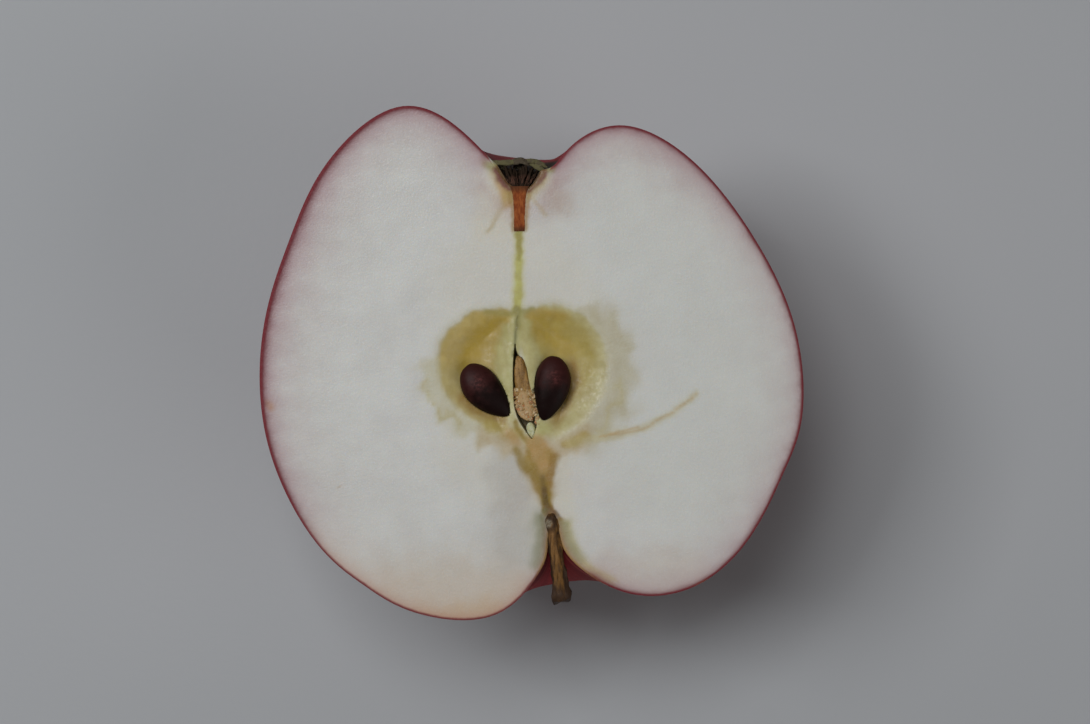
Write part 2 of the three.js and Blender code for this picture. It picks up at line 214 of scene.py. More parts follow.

# Stains and painted shade on the cut: colour, path, half width at its start and end, softness and
# strength.
FAR_STAINS_AND_SHADE = [
    (FLESH_RIGHT, [(20, 24), (27, 0), (22, -12)], (9, 7), 7, 0.5),
    (CREAM, [(-2.5, 9), (-2.5, -9)], (8, 8), 3.5, 0.4),
    (CREAM, [(2, -12), (2.4, -22)], (2.4, 2), 2, 0.6),
    (WARM, [(-16, -36), (-4, -34)], (5.5, 3.6), 4, 0.65),
    (GREY_FLESH, [(-3, -15), (-2.4, -20), (-2.4, -26)], (1, 1), 2.4, 0.65),
    (RIM_YELLOW, [(-16, -36.5), (-5, -34.5)], (0.6, 0.4), 1.8, 0.35),
    (WARM, [(9, -31.5), (20, -31.5)], (3, 4), 2.2, 0.35),
    (CREAM, [(-3.5, 25), (-5, 20)], (2, 1.6), 2, 0.7),
    (SHADY, [(1.8, 24.8), (3.6, 22.4)], (0.6, 0.3), 1.8, 0.8),
    (WARM, [(-4.2, 26), (-3.4, 22.5)], (0.6, 0.4), 1.1, 0.75),
    (HALO, [(-14, -1), (-13, -4.6), (-10.2, -8), (-6.5, -9.8)], (0.7, 0.7), 0.9, 0.75),
    (PALE_OCHRE, [(-15, -2), (-14.4, -4.2), (-12.8, -6.6), (-10, -8.6)], (0.1, 0.1), 0.4, 0.5),
    (FAR_HALO, [(9, 6.4), (11.6, 2.6), (12.2, -2), (11.2, -6.4), (8, -10)], (0.8, 0.8), 1.7, 0.7),
    (PALE_OCHRE, [(12.2, -2.6), (11.4, -6), (9, -9)], (0.1, 0.1), 0.45, 0.35),
    (LOW_HALO, [(-6, -9.8), (-1.5, -11.4), (3, -11.6), (6.6, -10.4)], (0.9, 1), 1, 0.85),
]
LEFT_CHAMBER_STAINS_AND_SHADOW = [
    (LOW_OCHRE, [(-12, -0.6), (-11.2, -3.6), (-9, -6.4), (-6, -8.2), (-3.8, -8.8)],
     (0.9, 0.8), 1, 0.85),
    (UPPER_OCHRE, [(-3, 6.8), (-5.6, 6.9), (-8.4, 5.8), (-10.6, 3.6), (-11.6, 1)],
     (0.6, 0.5), 1.1, 0.85),
    (DEEP_OCHRE, [(-3.4, 5.3), (-5.6, 4.8), (-7.2, 3.4), (-8.2, 1.6), (-8.8, 0)],
     (0.5, 0.4), 1.2, 0.9),
    # Painted shadow below the left pip.
    (PIP_SHADOW_OCHRE, [(-9.4, -5), (-6.6, -6.9), (-4.2, -8.1)], (0.15, 0.2), 0.8, 0.8),
    (LEFT_RIDGE, [(-3, 4.4), (-3.8, 1.8), (-3.8, -1.6), (-3.1, -5)], (0.5, 0.4), 0.9, 0.95),
    (RIDGE, [(-4.3, 2), (-4, 0.4), (-3.6, -1.6)], (0.1, 0.1), 0.45, 0.6),
]
RIGHT_CHAMBER_STAINS_AND_SHADOW = [
    (ORANGE_OCHRE, [(-0.2, 6.5), (2, 6.7), (4.4, 6.2)], (0.3, 0.2), 0.7, 0.8),
    (DEEP_OCHRE, [(1.2, 4.6), (3, 3.6), (4.8, 2)], (0.6, 0.4), 1.3, 0.7),
    # Painted shadow to the right of the right pip.
    (PIP_SHADOW_OCHRE, [(5.7, -0.6), (5.9, -3), (4.8, -6), (3.2, -8.4)], (0.2, 0.1), 0.8, 0.9),
    (RIDGE_GREEN, [(-1.4, 5), (-0.9, 2.6), (-0.2, 0.4)], (0.5, 0.5), 0.7, 0.9),
    (RIDGE, [(-0.6, 2.6), (0.4, 1), (0.3, -1)], (0.4, 0.35), 0.7, 0.85),
    (RIDGE, [(2.4, -9.6), (4.4, -8.8), (6.8, -6.4)], (0.5, 0.4), 1, 0.5),
]
CORE_STAINS_AND_SHADE = [
    (LINE_HALO, [(-1.7, 18.2), (-1.8, 12), (-1.9, 7.4)], (0.3, 0.5), 0.5, 0.8),
    (LINE, [(-1.7, 18.2), (-1.8, 12), (-1.9, 6.6)], (0.16, 0.3), 0.3, 0.95),
    (LINE_DARK, [(-1.7, 18.4), (-1.72, 16.4), (-1.75, 14.4)], (0.25, 0.02), 0.3, 0.8),
    (RIDGE, [(-1.5, 5.6), (-1, 2.6), (-0.5, -0.4), (0.3, -3)], (0.3, 0.3), 0.4, 0.95),
    (RIDGE, [(0.4, -3), (0.55, -5.4), (1.1, -8), (1, -9.6)], (0.3, 0.3), 0.35, 0.95),
    (RIDGE_GREEN, [(-1.95, 6.8), (-2.1, 3.4), (-2.5, 0), (-2.6, -5)], (0.5, 0.3), 0.45, 0.9),
    (LEAF_GREEN, [(-1.9, 7.4), (-2.8, 6.9), (-4.4, 7), (-6.4, 7.1)], (0.12, 0.05), 0.35, 0.5),
    (LEAF_GREEN, [(-1.9, 7.2), (-1.1, 7), (0.2, 7.5)], (0.12, 0.08), 0.35, 0.5),
    (LEAF_GREEN, [(-1.92, 7.2), (-1.97, 5.6), (-2.1, 4.2), (-2.25, 2.6)], (0.22, 0.1), 0.25, 0.8),
    (STEM_GREEN, [(-1.93, 6.4), (-2.08, 4.4), (-2.25, 2.6), (-2.4, 1)], (0.02, 0.06), 0.12, 0.7),
    (RIDGE, [(-0.4, -0.6), (-0.1, -2), (0, -3.4)], (0.3, 0.2), 0.3, 0.9),
    (RIDGE, [(-3, -5.4), (-2.6, -7.6), (-1.6, -9.4), (-0.5, -10.9)], (0.3, 0.2), 0.4, 0.8),
    (RIDGE_GREEN, [(0.6, -10.6), (1.3, -9.8), (1.9, -9)], (0.3, 0.4), 0.5, 0.8),
    (OLIVE_OCHRE, [(-5.6, -8.6), (-3.8, -9.4), (-2.2, -9.8)], (0.4, 0.4), 0.7, 0.7),
    (TAN, [(-3.2, -10), (-2.2, -10.8)], (0.3, 0.2), 0.6, 0.7),
    (OLIVE, [(-2.3, -8.2), (-1.6, -9.6), (-0.5, -11.2)], (0.12, 0.06), 0.25, 0.8),
    (TAN, [(0.6, -11.4), (1.3, -12.4), (1.8, -13.4)], (0.7, 0.8), 0.7, 0.85),
    (OCHRE, [(4.6, -11.3), (6.2, -10.8), (7.4, -10)], (0.15, 0.15), 0.5, 0.75),
    (PALE_OCHRE, [(5.4, -11.2), (8.4, -10.6), (14, -9.5), (18.6, -7.6), (22.8, -4.3)],
     (0.3, 0.05), 0.45, 0.45),
    (TAN, [(11, -10), (14.6, -9.4), (18.6, -7.5), (22.8, -4.3)], (0.01, 0.01), 0.16, 0.4),
    (TAN, [(9.4, -10.2), (12, -9.7), (15, -8.8)], (0.01, 0.01), 0.16, 0.4),
    (TRUNK_OCHRE, [(0.8, -13.4), (1.1, -15.4), (1.9, -18)], (1.2, 0.5), 0.9, 0.9),
    (OLIVE, [(-2.2, -12), (-1.2, -13.8), (0.8, -16.4), (1.6, -18.2)], (0.05, 0.35), 0.5, 0.8),
    (TRUNK_BROWN, [(3, -13.2), (2.8, -15), (2.1, -17)], (0.25, 0.35), 0.45, 0.9),
    (OLIVE, [(-0.4, -12.2), (0.3, -13.8), (0.9, -15.6)], (0.02, 0.08), 0.4, 0.6),
    (TAN, [(0.9, -12.2), (1.5, -14.2)], (0.6, 0.4), 0.6, 0.7),
    (OLIVE, [(1.6, -16.8), (2, -18.6), (2.4, -20.6)], (0.4, 0.6), 0.4, 0.95),
    (TRUNK, [(1.5, -15.8), (1.7, -17.4), (1.9, -19)], (0.01, 0.12), 0.35, 0.6),
    (TRUNK, [(1.75, -17.8), (2, -19.4), (2.8, -20.9)], (0.02, 0.4), 0.4, 0.95),
    (STEM_GREEN, [(2, -20.6), (3, -20.9)], (0.25, 0.2), 0.3, 0.7),
    (DARK_OLIVE, [(3.4, -20.6), (3.8, -22)], (0.12, 0.1), 0.2, 0.7),
    (DARK_OLIVE, [(1.4, -21.4), (1.75, -24), (2, -26.4), (1.8, -28)], (0.1, 0.06), 0.3, 0.6),
    # Greenish flesh with painted shade, towards the stem hollow.
    (SHADED_HOLLOW_GREEN, [(1.4, -22), (1.5, -25), (1, -27.8)], (0.4, 0.2), 1, 0.75),
    (OLIVE, [(3.9, -22), (4.3, -24.4)], (0.15, 0.15), 0.35, 0.8),
    (STEM_OLIVE, [(4.2, -23.6), (4.8, -26), (5.6, -27.6)], (0.12, 0.1), 0.35, 0.85),
    (PALE_OCHRE, [(4.8, -22.6), (5.6, -25.6), (7.6, -28.2), (11, -30.4)], (0.3, 0.2), 0.6, 0.8),
    # Greenish flesh with painted shade, towards the stem hollow.
    (SHADED_HOLLOW_GREEN, [(4.3, -22.8), (5, -25.4), (6.4, -27.6)], (0.25, 0.3), 0.8, 0.6),
    (LOW_OCHRE, [(-4.4, 26.4), (-3.4, 24.6), (-3.2, 22.6)], (0.5, 0.3), 0.7, 0.8),
    (TAN, [(-4.1, 25), (-3.7, 23.4), (-3.3, 22.2)], (0.3, 0.15), 0.5, 0.7),
    (OCHRE, [(-3.1, 24.4), (-3.7, 22.4), (-4.7, 20.4), (-6, 18.4)], (0.15, 0.01), 0.35, 0.35),
    (OLIVE, [(-2.9, 24), (-2.8, 22.4)], (0.2, 0.05), 0.35, 0.7),
    (OCHRE, [(-0.2, 24), (0.4, 22.6), (1.7, 20.6)], (0.15, 0.01), 0.35, 0.35),
    (LOW_OCHRE, [(1.2, 25.6), (0.2, 24.2)], (0.4, 0.3), 0.6, 0.7),
    (BROWN, [(-2.7, 24.4), (-2.55, 22), (-2.4, 18.6)], (0.35, 0.05), 0.3, 0.8),
    (BROWN, [(-0.5, 24.4), (-0.7, 22), (-0.85, 18.6)], (0.4, 0.05), 0.3, 0.8),
    (LEAF_GREEN, [(-6.2, 27.6), (-5, 27.2)], (0.3, 0.3), 0.5, 0.8),
    (LEAF_GREEN, [(1.6, 26.9), (2.8, 27)], (0.3, 0.25), 0.45, 0.8),
    (PIT_RED, [(-4.75, 26.6), (-4.1, 25.4), (-3, 24.2)], (0.25, 0.25), 0.4, 0.95),
    (PIT_RED, [(1.5, 26.4), (0.9, 25.4), (-0.1, 24.2)], (0.3, 0.25), 0.4, 0.95),
    (PIT_EDGE, [(-4.7, 27), (-3.9, 25.6), (-2.7, 24.2)], (0.2, 0.2), 0.2, 0.95),
    (PIT_EDGE, [(1.3, 26.6), (0.6, 25.4), (-0.4, 24.2)], (0.15, 0.15), 0.2, 0.9),
    (RIM_YELLOW, [(-36.8, -5.7), (-36.4, -6.1)], (0.3, 0.3), 0.4, 0.8),
    (TAN, [(-26.7, -17.3), (-26.7, -17.5)], (0.05, 0.05), 0.14, 0.7),
]

# ------------------------------------------------------------------ small geometry helpers


def spline(control, share):
    """Points of a uniform cubic B-spline that starts and ends on its end controls."""
    control = np.asarray(control, float)
    share = np.asarray(share, float)
    spans = len(control) - 1
    place = np.clip(share * spans, 0, spans - 1e-9)
    first = place.astype(int)
    t = (place - first)[..., None]
    before = 2 * control[0] - control[1]
    after = 2 * control[-1] - control[-2]
    held = np.vstack([before, control, after])
    weights = (
        (1 - t) ** 3,
        3 * t**3 - 6 * t**2 + 4,
        -3 * t**3 + 3 * t**2 + 3 * t + 1,
        t**3,
    )
    return sum(weight * held[first + k] for k, weight in enumerate(weights)) / 6


def smooth_path(points, closed=False, per_span=6):
    """A curve through the points, as a list of finer points."""
    points = np.asarray(points, float)
    count = len(points)
    spans = count if closed else count - 1
    fine = []
    for span in range(spans):
        if closed:
            a, b, c, d = (points[(span + k) % count] for k in (-1, 0, 1, 2))
        else:
            b, c = points[span], points[span + 1]
            a = points[span - 1] if span else 2 * b - c
            d = points[span + 2] if span + 2 < count else 2 * c - b
        for step in range(per_span):
            t = step / per_span
            fine.append(
                0.5 * (2 * b + (c - a) * t + (2 * a - 5 * b + 4 * c - d) * t**2
                       + (3 * b - a - 3 * c + d) * t**3)
            )
    fine.append(fine[0] if closed else points[-1])
    return np.array(fine)


def distance_to(x, y, path):
    """Distance of each point from a path, and how far along the path its nearest place is."""
    nearest = np.full(x.shape, np.inf)
    along = np.zeros(x.shape)
    lengths = np.hypot(*np.diff(path, axis=0).T)
    whole = max(lengths.sum(), 1e-9)
    walked = 0.0
    for (ax, ay), (bx, by), length in zip(path[:-1], path[1:], lengths):
        if length < 1e-9:
            continue
        t = np.clip(((x - ax) * (bx - ax) + (y - ay) * (by - ay)) / length**2, 0, 1)
        away = np.hypot(x - ax - t * (bx - ax), y - ay - t * (by - ay))
        closer = away < nearest
        nearest = np.where(closer, away, nearest)
        along = np.where(closer, (walked + t * length) / whole, along)
        walked += length
    return nearest, along


def depth_inside(x, y, loop):
    """Distance from a closed loop, positive inside it and negative outside."""
    nearest, _ = distance_to(x, y, loop)
    inside = np.zeros(x.shape, bool)
    for (ax, ay), (bx, by) in zip(loop[:-1], loop[1:]):
        if ay == by:
            continue
        crosses = (ay > y) != (by > y)
        inside ^= crosses & (x < ax + (y - ay) * (bx - ax) / (by - ay))
    return np.where(inside, nearest, -nearest)


def ease(low, high, value):
    """A smooth rise from nought at low to one at high."""
    t = np.clip((value - low) / (high - low), 0, 1)
    return t * t * (3 - 2 * t)


def ripple(x, y, size, seed):
    """Smooth seeded unevenness between about minus one and one, with waves of that size."""
    draw = np.random.default_rng(seed)
    total = np.zeros(np.shape(x))
    waves = 7
    for _ in range(waves):
        turn, phase = draw.uniform(0, 2 * math.pi, 2)
        stretch = draw.uniform(0.7, 1.6) * 2 * math.pi / size
        total += np.sin(stretch * (x * math.cos(turn) + y * math.sin(turn)) + phase)
    return total / math.sqrt(waves)


def core_x(y):
    """Where the core line is at a height along it."""
    share = (y - HOLLOW_FLOOR[1]) / (BASIN_FLOOR[1] - HOLLOW_FLOOR[1])
    return HOLLOW_FLOOR[0] + (BASIN_FLOOR[0] - HOLLOW_FLOOR[0]) * share


def nearness(share, ridge):
    """One on the ridge of the shoulder or crown, fading to each side over its own width."""
    offset = share * (len(LEFT_SIDE) - 1) - ridge["station"]
    width = np.where(offset * ridge["inward"] > 0, ridge["inward"], ridge["outward"])
    return np.exp(-((offset / width) ** 2))


def skin_point(azimuth, share, half_depth, cut_height):
    """Points of the skin. Azimuth runs from the right of the cut under the fruit to the left."""
    right = spline(RIGHT_SIDE, share)
    left = spline(LEFT_SIDE, share)
    places = np.linspace(0, 1, SIDE_PLACES)
    mean = (spline(LEFT_SIDE, places)[:, 0] + spline(RIGHT_SIDE, places)[:, 0]) / 2
    rightness = (1 + np.cos(azimuth)) / 2
    backness = np.sin(azimuth) ** 2
    knob = np.sin(KNOBS * azimuth)
    radius = left[..., 0] + (right[..., 0] - left[..., 0]) * rightness
    radius = radius * (1 + (half_depth / mean.max() - 1) * backness)
    dip = backness**DIP_POWER
    off_core = 1 - np.exp(-((radius / CORE_CALM) ** 2))
    shoulder = off_core * nearness(share, SHOULDER)
    crown = off_core * nearness(share, CROWN)
    radius = radius + CHEEK_KNOB * knob * np.sin(np.pi * share) * off_core
    y = left[..., 1] + (right[..., 1] - left[..., 1]) * rightness
    y = y + shoulder * (SHOULDER["drop"] * dip - SHOULDER["knob"] * knob)
    y = y - crown * (CROWN["drop"] * dip - CROWN["knob"] * knob)
    in_pit = (share > FLOWER_SHARE) & (radius < PIT_RADIUS[-1])
    y = np.where(in_pit, np.minimum(y, np.interp(radius, PIT_RADIUS, PIT_HEIGHT)), y)
    x = core_x(y) + radius * np.cos(azimuth)
    return x, y, cut_height - radius * np.sin(azimuth)


# ------------------------------------------------------------------ Blender helpers


def start_fresh():
    """Object mode with nothing selected."""
    if bpy.context.object and bpy.context.object.mode != "OBJECT":
        bpy.ops.object.mode_set(mode="OBJECT")
    bpy.ops.object.select_all(action="DESELECT")


def select_only(*pieces):
    """Selects these pieces and makes the first one active."""
    start_fresh()
    for piece in pieces:
        piece.select_set(True)
    bpy.context.view_layer.objects.active = pieces[0]


def points_of(piece):
    """The vertices of a piece in millimetres, one row each."""
    flat = np.empty(len(piece.data.vertices) * 3, np.float32)
    piece.data.vertices.foreach_get("co", flat)
    return flat.reshape(-1, 3).astype(float) / MM


def set_points(piece, points):
    """Moves the vertices of a piece to these places in millimetres."""
    piece.data.vertices.foreach_set("co", (points * MM).astype(np.float32).ravel())
    piece.data.update()


def give_number(piece, name, values):
    """A number on each vertex, for the materials to read."""
    field = piece.data.attributes.new(name, "FLOAT", "POINT")
    field.data.foreach_set("value", np.asarray(values, np.float32))


def give_colour(piece, name, colours):
    """A colour with its strength on each vertex, for the materials to read."""
    field = piece.data.attributes.new(name, "FLOAT_COLOR", "POINT")
    field.data.foreach_set("color", np.asarray(colours, np.float32).ravel())


def settle(piece):
    """Puts the place, turn and size of a piece into its mesh."""
    select_only(piece)
    bpy.ops.object.transform_apply(location=True, rotation=True, scale=True)


def close_up(piece, gap=1e-6):
    """Merges doubled vertices, drops faces with no area, fills pinholes, turns faces outwards."""
    select_only(piece)
    bpy.ops.object.mode_set(mode="EDIT")
    bpy.ops.mesh.select_all(action="SELECT")
    bpy.ops.mesh.remove_doubles(threshold=gap)
    bpy.ops.mesh.dissolve_degenerate(threshold=gap / 10)
    bpy.ops.mesh.fill_holes(sides=6)
    bpy.ops.mesh.normals_make_consistent(inside=False)
    bpy.ops.object.mode_set(mode="OBJECT")


def roughen(piece, size, height, group=""):
    """Presses an even cloud pattern into a piece with a Displace modifier, then applies it."""
    texture = bpy.data.textures.new("roughness", "CLOUDS")
    texture.noise_scale = size * MM
    texture.noise_depth = 2
    modifier = piece.modifiers.new("roughen", "DISPLACE")
    modifier.texture = texture
    modifier.texture_coords = "LOCAL"
    modifier.strength = height * MM
    modifier.mid_level = 0.5
    modifier.vertex_group = group
    select_only(piece)
    bpy.ops.object.modifier_apply(modifier=modifier.name)


def soften(piece, levels=1):
    """Rounds a piece with a Subdivision Surface modifier, then applies it."""
    modifier = piece.modifiers.new("soften", "SUBSURF")
    modifier.levels = levels
    modifier.render_levels = levels
    select_only(piece)
    bpy.ops.object.modifier_apply(modifier=modifier.name)


def shade(piece, degrees):
    """Smooth shading that keeps edges sharper than an angle."""
    select_only(piece)
    bpy.ops.object.shade_smooth_by_angle(angle=math.radians(degrees))


def name_piece(piece, name):
    """Gives a piece and its mesh their name."""
    piece.name = name
    piece.data.name = name
    return piece


def join(pieces, name):
    """Makes one piece out of several."""
    select_only(*pieces)
    bpy.ops.object.join()
    return name_piece(bpy.context.object, name)


def hand_over(piece, nodes, material=None, degrees=60):
    """Finishes a piece: gives it its material and shading, hangs it on the root body and hides the
    solids that it stands for.
    """
    if material:
        piece.data.materials.append(material)
    shade(piece, degrees)
    settle(piece)
    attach(piece, "root")
    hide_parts(*nodes)


# ------------------------------------------------------------------ material helpers


class Paint:
    """A node material under construction, with short calls for the nodes that it uses."""

    def __init__(self, name):
        self.material = bpy.data.materials.new(name)
        self.material.use_nodes = True
        self.tree = self.material.node_tree
        self.shader = self.tree.nodes["Principled BSDF"]
        self.place = self.tree.nodes.new("ShaderNodeTexCoord").outputs["Object"]

    def node(self, kind, **settings):
        """A new node with these settings."""
        made = self.tree.nodes.new(kind)
        for key, value in settings.items():
            setattr(made, key, value)
        return made

    def link(self, source, target):
        """Feeds an input from another node's output, or gives it a fixed value."""
        if hasattr(source, "is_linked"):
            self.tree.links.new(source, target)
        else:
            target.default_value = source

    def number(self, name):
        """A number that the mesh carries."""
        return self.node("ShaderNodeAttribute", attribute_name=name).outputs["Fac"]

    def axis(self, letter):
        """One of the three object coordinates, in metres."""
        parts = self.node("ShaderNodeSeparateXYZ")
        self.link(self.place, parts.inputs[0])
        return parts.outputs[letter]

    def noise(self, size, detail=2, rough=0.5, place=None):
        """Noise with features of about that many millimetres."""
        made = self.node("ShaderNodeTexNoise")
        made.inputs["Scale"].default_value = 1 / (size * MM)
        made.inputs["Detail"].default_value = detail
        made.inputs["Roughness"].default_value = rough
        self.link(place or self.place, made.inputs["Vector"])
        return made.outputs["Fac"]

    def cells(self, size, feature="F1", place=None):
        """Distance inside cells of about that many millimetres."""
        made = self.node("ShaderNodeTexVoronoi", feature=feature)
        made.inputs["Scale"].default_value = 1 / (size * MM)
        self.link(place or self.place, made.inputs["Vector"])
        return made.outputs["Distance"]

    def stretched(self, x=1, y=1, z=1, turn=0):
        """Object coordinates scaled along each axis and turned about Z by some degrees."""
        made = self.node("ShaderNodeMapping")
        made.inputs["Scale"].default_value = (x, y, z)
        made.inputs["Rotation"].default_value = (0, 0, math.radians(turn))
        self.link(self.place, made.inputs["Vector"])
        return made.outputs["Vector"]

    def ramp(self, value, low, high, start=0.0, end=1.0):
        """A smooth change from start to end as the value goes from low to high."""
        made = self.node("ShaderNodeMapRange", interpolation_type="SMOOTHSTEP")
        for key, number in (("From Min", low), ("From Max", high), ("To Min", start),
                            ("To Max", end)):
            made.inputs[key].default_value = number
        self.link(value, made.inputs["Value"])
        return made.outputs["Result"]

    def math(self, operation, first, second=0.0):
        """A sum, product or other result of two numbers."""
        made = self.node("ShaderNodeMath", operation=operation)
        self.link(first, made.inputs[0])
        self.link(second, made.inputs[1])
        return made.outputs[0]

    def mix(self, factor, first, second):
        """Mixes two colours, given as sockets or linear colours."""
        made = self.node("ShaderNodeMix", data_type="RGBA")
        self.link(factor, made.inputs[0])
        for colour, socket in ((first, made.inputs[6]), (second, made.inputs[7])):
            is_socket = hasattr(colour, "is_linked")
            self.link(colour if is_socket else (*colour[:3], 1), socket)
        return made.outputs[2]

    def blend(self, first, second, value, low, high, start=0.0, end=1.0):
        """Goes from the first colour to the second as a value rises from low to high."""
        return self.mix(self.ramp(value, low, high, start, end), first, second)

    def bump(self, height, depth, below=None):
        """A bump whose heights are in units of that many millimetres."""
        made = self.node("ShaderNodeBump")
        made.inputs["Strength"].default_value = 1
        made.inputs["Distance"].default_value = depth * MM
        self.link(height, made.inputs["Height"])
        if below is not None:
            self.link(below, made.inputs["Normal"])
        return made.outputs["Normal"]

    def finish(self, colour, roughness, normal=None, **fixed):
        """Feeds the shader, sets its fixed values and gives back the material."""
        self.link(colour, self.shader.inputs["Base Color"])
        self.link(roughness, self.shader.inputs["Roughness"])
        if normal is not None:
            self.link(normal, self.shader.inputs["Normal"])
        for key, value in fixed.items():
            self.shader.inputs[key.replace("_", " ")].default_value = value
        return self.material


# ------------------------------------------------------------------ materials


def flesh_material(colours, sizes):
    """Moist white flesh with fine cells and painted glints, the stains and painted shade of the
    core and a thin line of skin.
    """
    paint = Paint("apple_flesh")
    wall = paint.number("wall")
    rim = paint.number("rim")
    grain = paint.cells(0.34)
    fine = paint.noise(0.2, 3, 0.6)
    clouds = paint.noise(7, 4, 0.6)
    mottle = paint.noise(1.9, 3, 0.6)
    patches = paint.noise(1.1, 3, 0.6)
    base = paint.blend(colours.flesh, FLESH_SHADE, clouds, 0.3, 0.7)
    base = paint.blend(base, FLESH_SHADE, mottle, 0.35, 0.7, 0, 0.15)
    # Painted glints: fine white specks over the flesh.
    base = paint.blend(base, PAINTED_GLINT, fine, 0.55, 0.75, 0, 0.55)
    stain_and_shade = paint.node("ShaderNodeAttribute", attribute_name="stain_and_shade")
    worn = paint.ramp(patches, 0.3, 0.6, 0.96, 1.0)
    cover = paint.math("MULTIPLY", stain_and_shade.outputs["Alpha"], worn)
    parts = paint.node("ShaderNodeSeparateColor")
    paint.link(stain_and_shade.outputs["Color"], parts.inputs[0])
    ochre = paint.math("MULTIPLY", paint.ramp(parts.outputs["Blue"], 0.28, 0.62, 1, 0),
                       paint.ramp(rim, 2, 7))
    deeper = paint.math("MULTIPLY", paint.ramp(mottle, 0.3, 0.7, 0, 0.3), ochre)
    juicy = paint.mix(deeper, stain_and_shade.outputs["Color"], colours.flesh_shadow)
    # Painted glints over the stains too, fainter.
    juicy = paint.blend(juicy, PAINTED_GLINT, fine, 0.6, 0.75, 0, 0.08)
    colour = paint.mix(cover, base, juicy)
    colour = paint.mix(paint.number("fringe"), colour, colours.skin_fringe)
    wobble = paint.math("MULTIPLY", paint.math("SUBTRACT", paint.noise(0.9, 3), 0.5), 0.2)
    edge = paint.math("ADD", rim, wobble)
    thickness = sizes.skin_thickness / MM
    line = paint.ramp(edge, thickness * 0.35, thickness * 1.65, 0.88, 0)
    skin_line = paint.mix(paint.number("edge_ripe"), BROWN, colours.skin_edge)
    colour = paint.mix(line, colour, skin_line)
    cell_height = paint.math("MULTIPLY", grain, paint.ramp(wall, 0.1, 0.8, 1, 0.15))
    rough_height = paint.math("MULTIPLY", fine, paint.ramp(wall, 0.1, 0.8, 1, 0.3))
    normal = paint.bump(cell_height, sizes.grain_height / MM)
    normal = paint.bump(rough_height, sizes.grain_height / MM, normal)
    normal = paint.bump(mottle, 0.03, normal)
    gloss = paint.ramp(paint.noise(0.45, 2), 0.35, 0.7, 0.52, 0.3)
    gloss = paint.math("ADD", gloss, paint.ramp(rim, 0.1, 0.7, 0.35, 0))
    return paint.finish(
        colour, gloss, normal,
        Subsurface_Weight=0.4, Subsurface_Radius=(1, 0.85, 0.7), Subsurface_Scale=0.0012,
        Specular_IOR_Level=0.4,
    )


def skin_material(colours):
    """Glossy red skin: streaks from stem to flower, pale dots, green where it is unripe, and
    painted shade that darkens it in the hollows and blackens it in the flower pit.
    """
    paint = Paint("apple_skin")
    uv = paint.node("ShaderNodeUVMap", uv_map="UVMap")
    parts = paint.node("ShaderNodeSeparateXYZ")
    paint.link(uv.outputs["UV"], parts.inputs[0])
    lengthways = paint.node("ShaderNodeCombineXYZ")
    paint.link(paint.math("MULTIPLY", parts.outputs["X"], 0.11), lengthways.inputs[0])
    paint.link(paint.math("MULTIPLY", paint.axis("Y"), 0.09), lengthways.inputs[1])
    streaks = paint.noise(1.5, 4, 0.65, lengthways.outputs[0])
    broad = paint.noise(7, 3, 0.6, lengthways.outputs[0])
    clouds = paint.noise(14, 3, 0.55)
    ripe = paint.number("ripe")
    red = paint.blend(colours.skin, colours.skin_dark, streaks, 0.35, 0.65)
    red = paint.blend(red, colours.skin_light, broad, 0.52, 0.72, 0, 0.55)
    red = paint.blend(red, colours.skin_light, clouds, 0.5, 0.75, 0, 0.5)
    unripe = paint.blend(colours.skin_green, RIM_YELLOW, streaks, 0.3, 0.7)
    patchy = paint.math("ADD", ripe, paint.ramp(streaks, 0.3, 0.7, -0.25, 0.25))
    colour = paint.blend(unripe, red, patchy, 0.25, 0.75)
    dots = paint.cells(3.1)
    dot_size = paint.ramp(paint.noise(5, 1), 0.3, 0.7, 0.05, 0.1)
    dot = paint.ramp(paint.math("SUBTRACT", dots, dot_size), -0.02, 0.03, 0.75, 0)
    colour = paint.mix(dot, colour, RIM_YELLOW)
    freckle = paint.ramp(paint.cells(1.15), 0.06, 0.16, 0.35, 0)
    colour = paint.mix(freckle, colour, colours.skin_light)
    normal = paint.bump(paint.noise(0.5, 3), 0.015)
    normal = paint.bump(dot, 0.03, normal)
    # Painted shade: the skin is darker, and also rougher, in the stem hollow and the basin near the
    # core line.
    shaded_hollow = paint.number("shaded_hollow")
    colour = paint.mix(paint.math("MULTIPLY", shaded_hollow, 0.3), colour, colours.skin_dark)
    # Painted shade: the skin in the flower pit is near black.
    colour = paint.mix(paint.number("pit"), colour, DARK_AND_PIT_SHADE)
    gloss = paint.ramp(paint.noise(3, 3), 0.3, 0.7, 0.24, 0.36)
    gloss = paint.math("ADD", gloss, paint.math("MULTIPLY", shaded_hollow, 0.55))
    return paint.finish(
        colour, gloss, normal,
        Coat_Weight=0.05, Coat_Roughness=0.2, Specular_IOR_Level=0.22,
        Subsurface_Weight=0.08, Subsurface_Radius=(1, 0.3, 0.2), Subsurface_Scale=0.0008,
    )


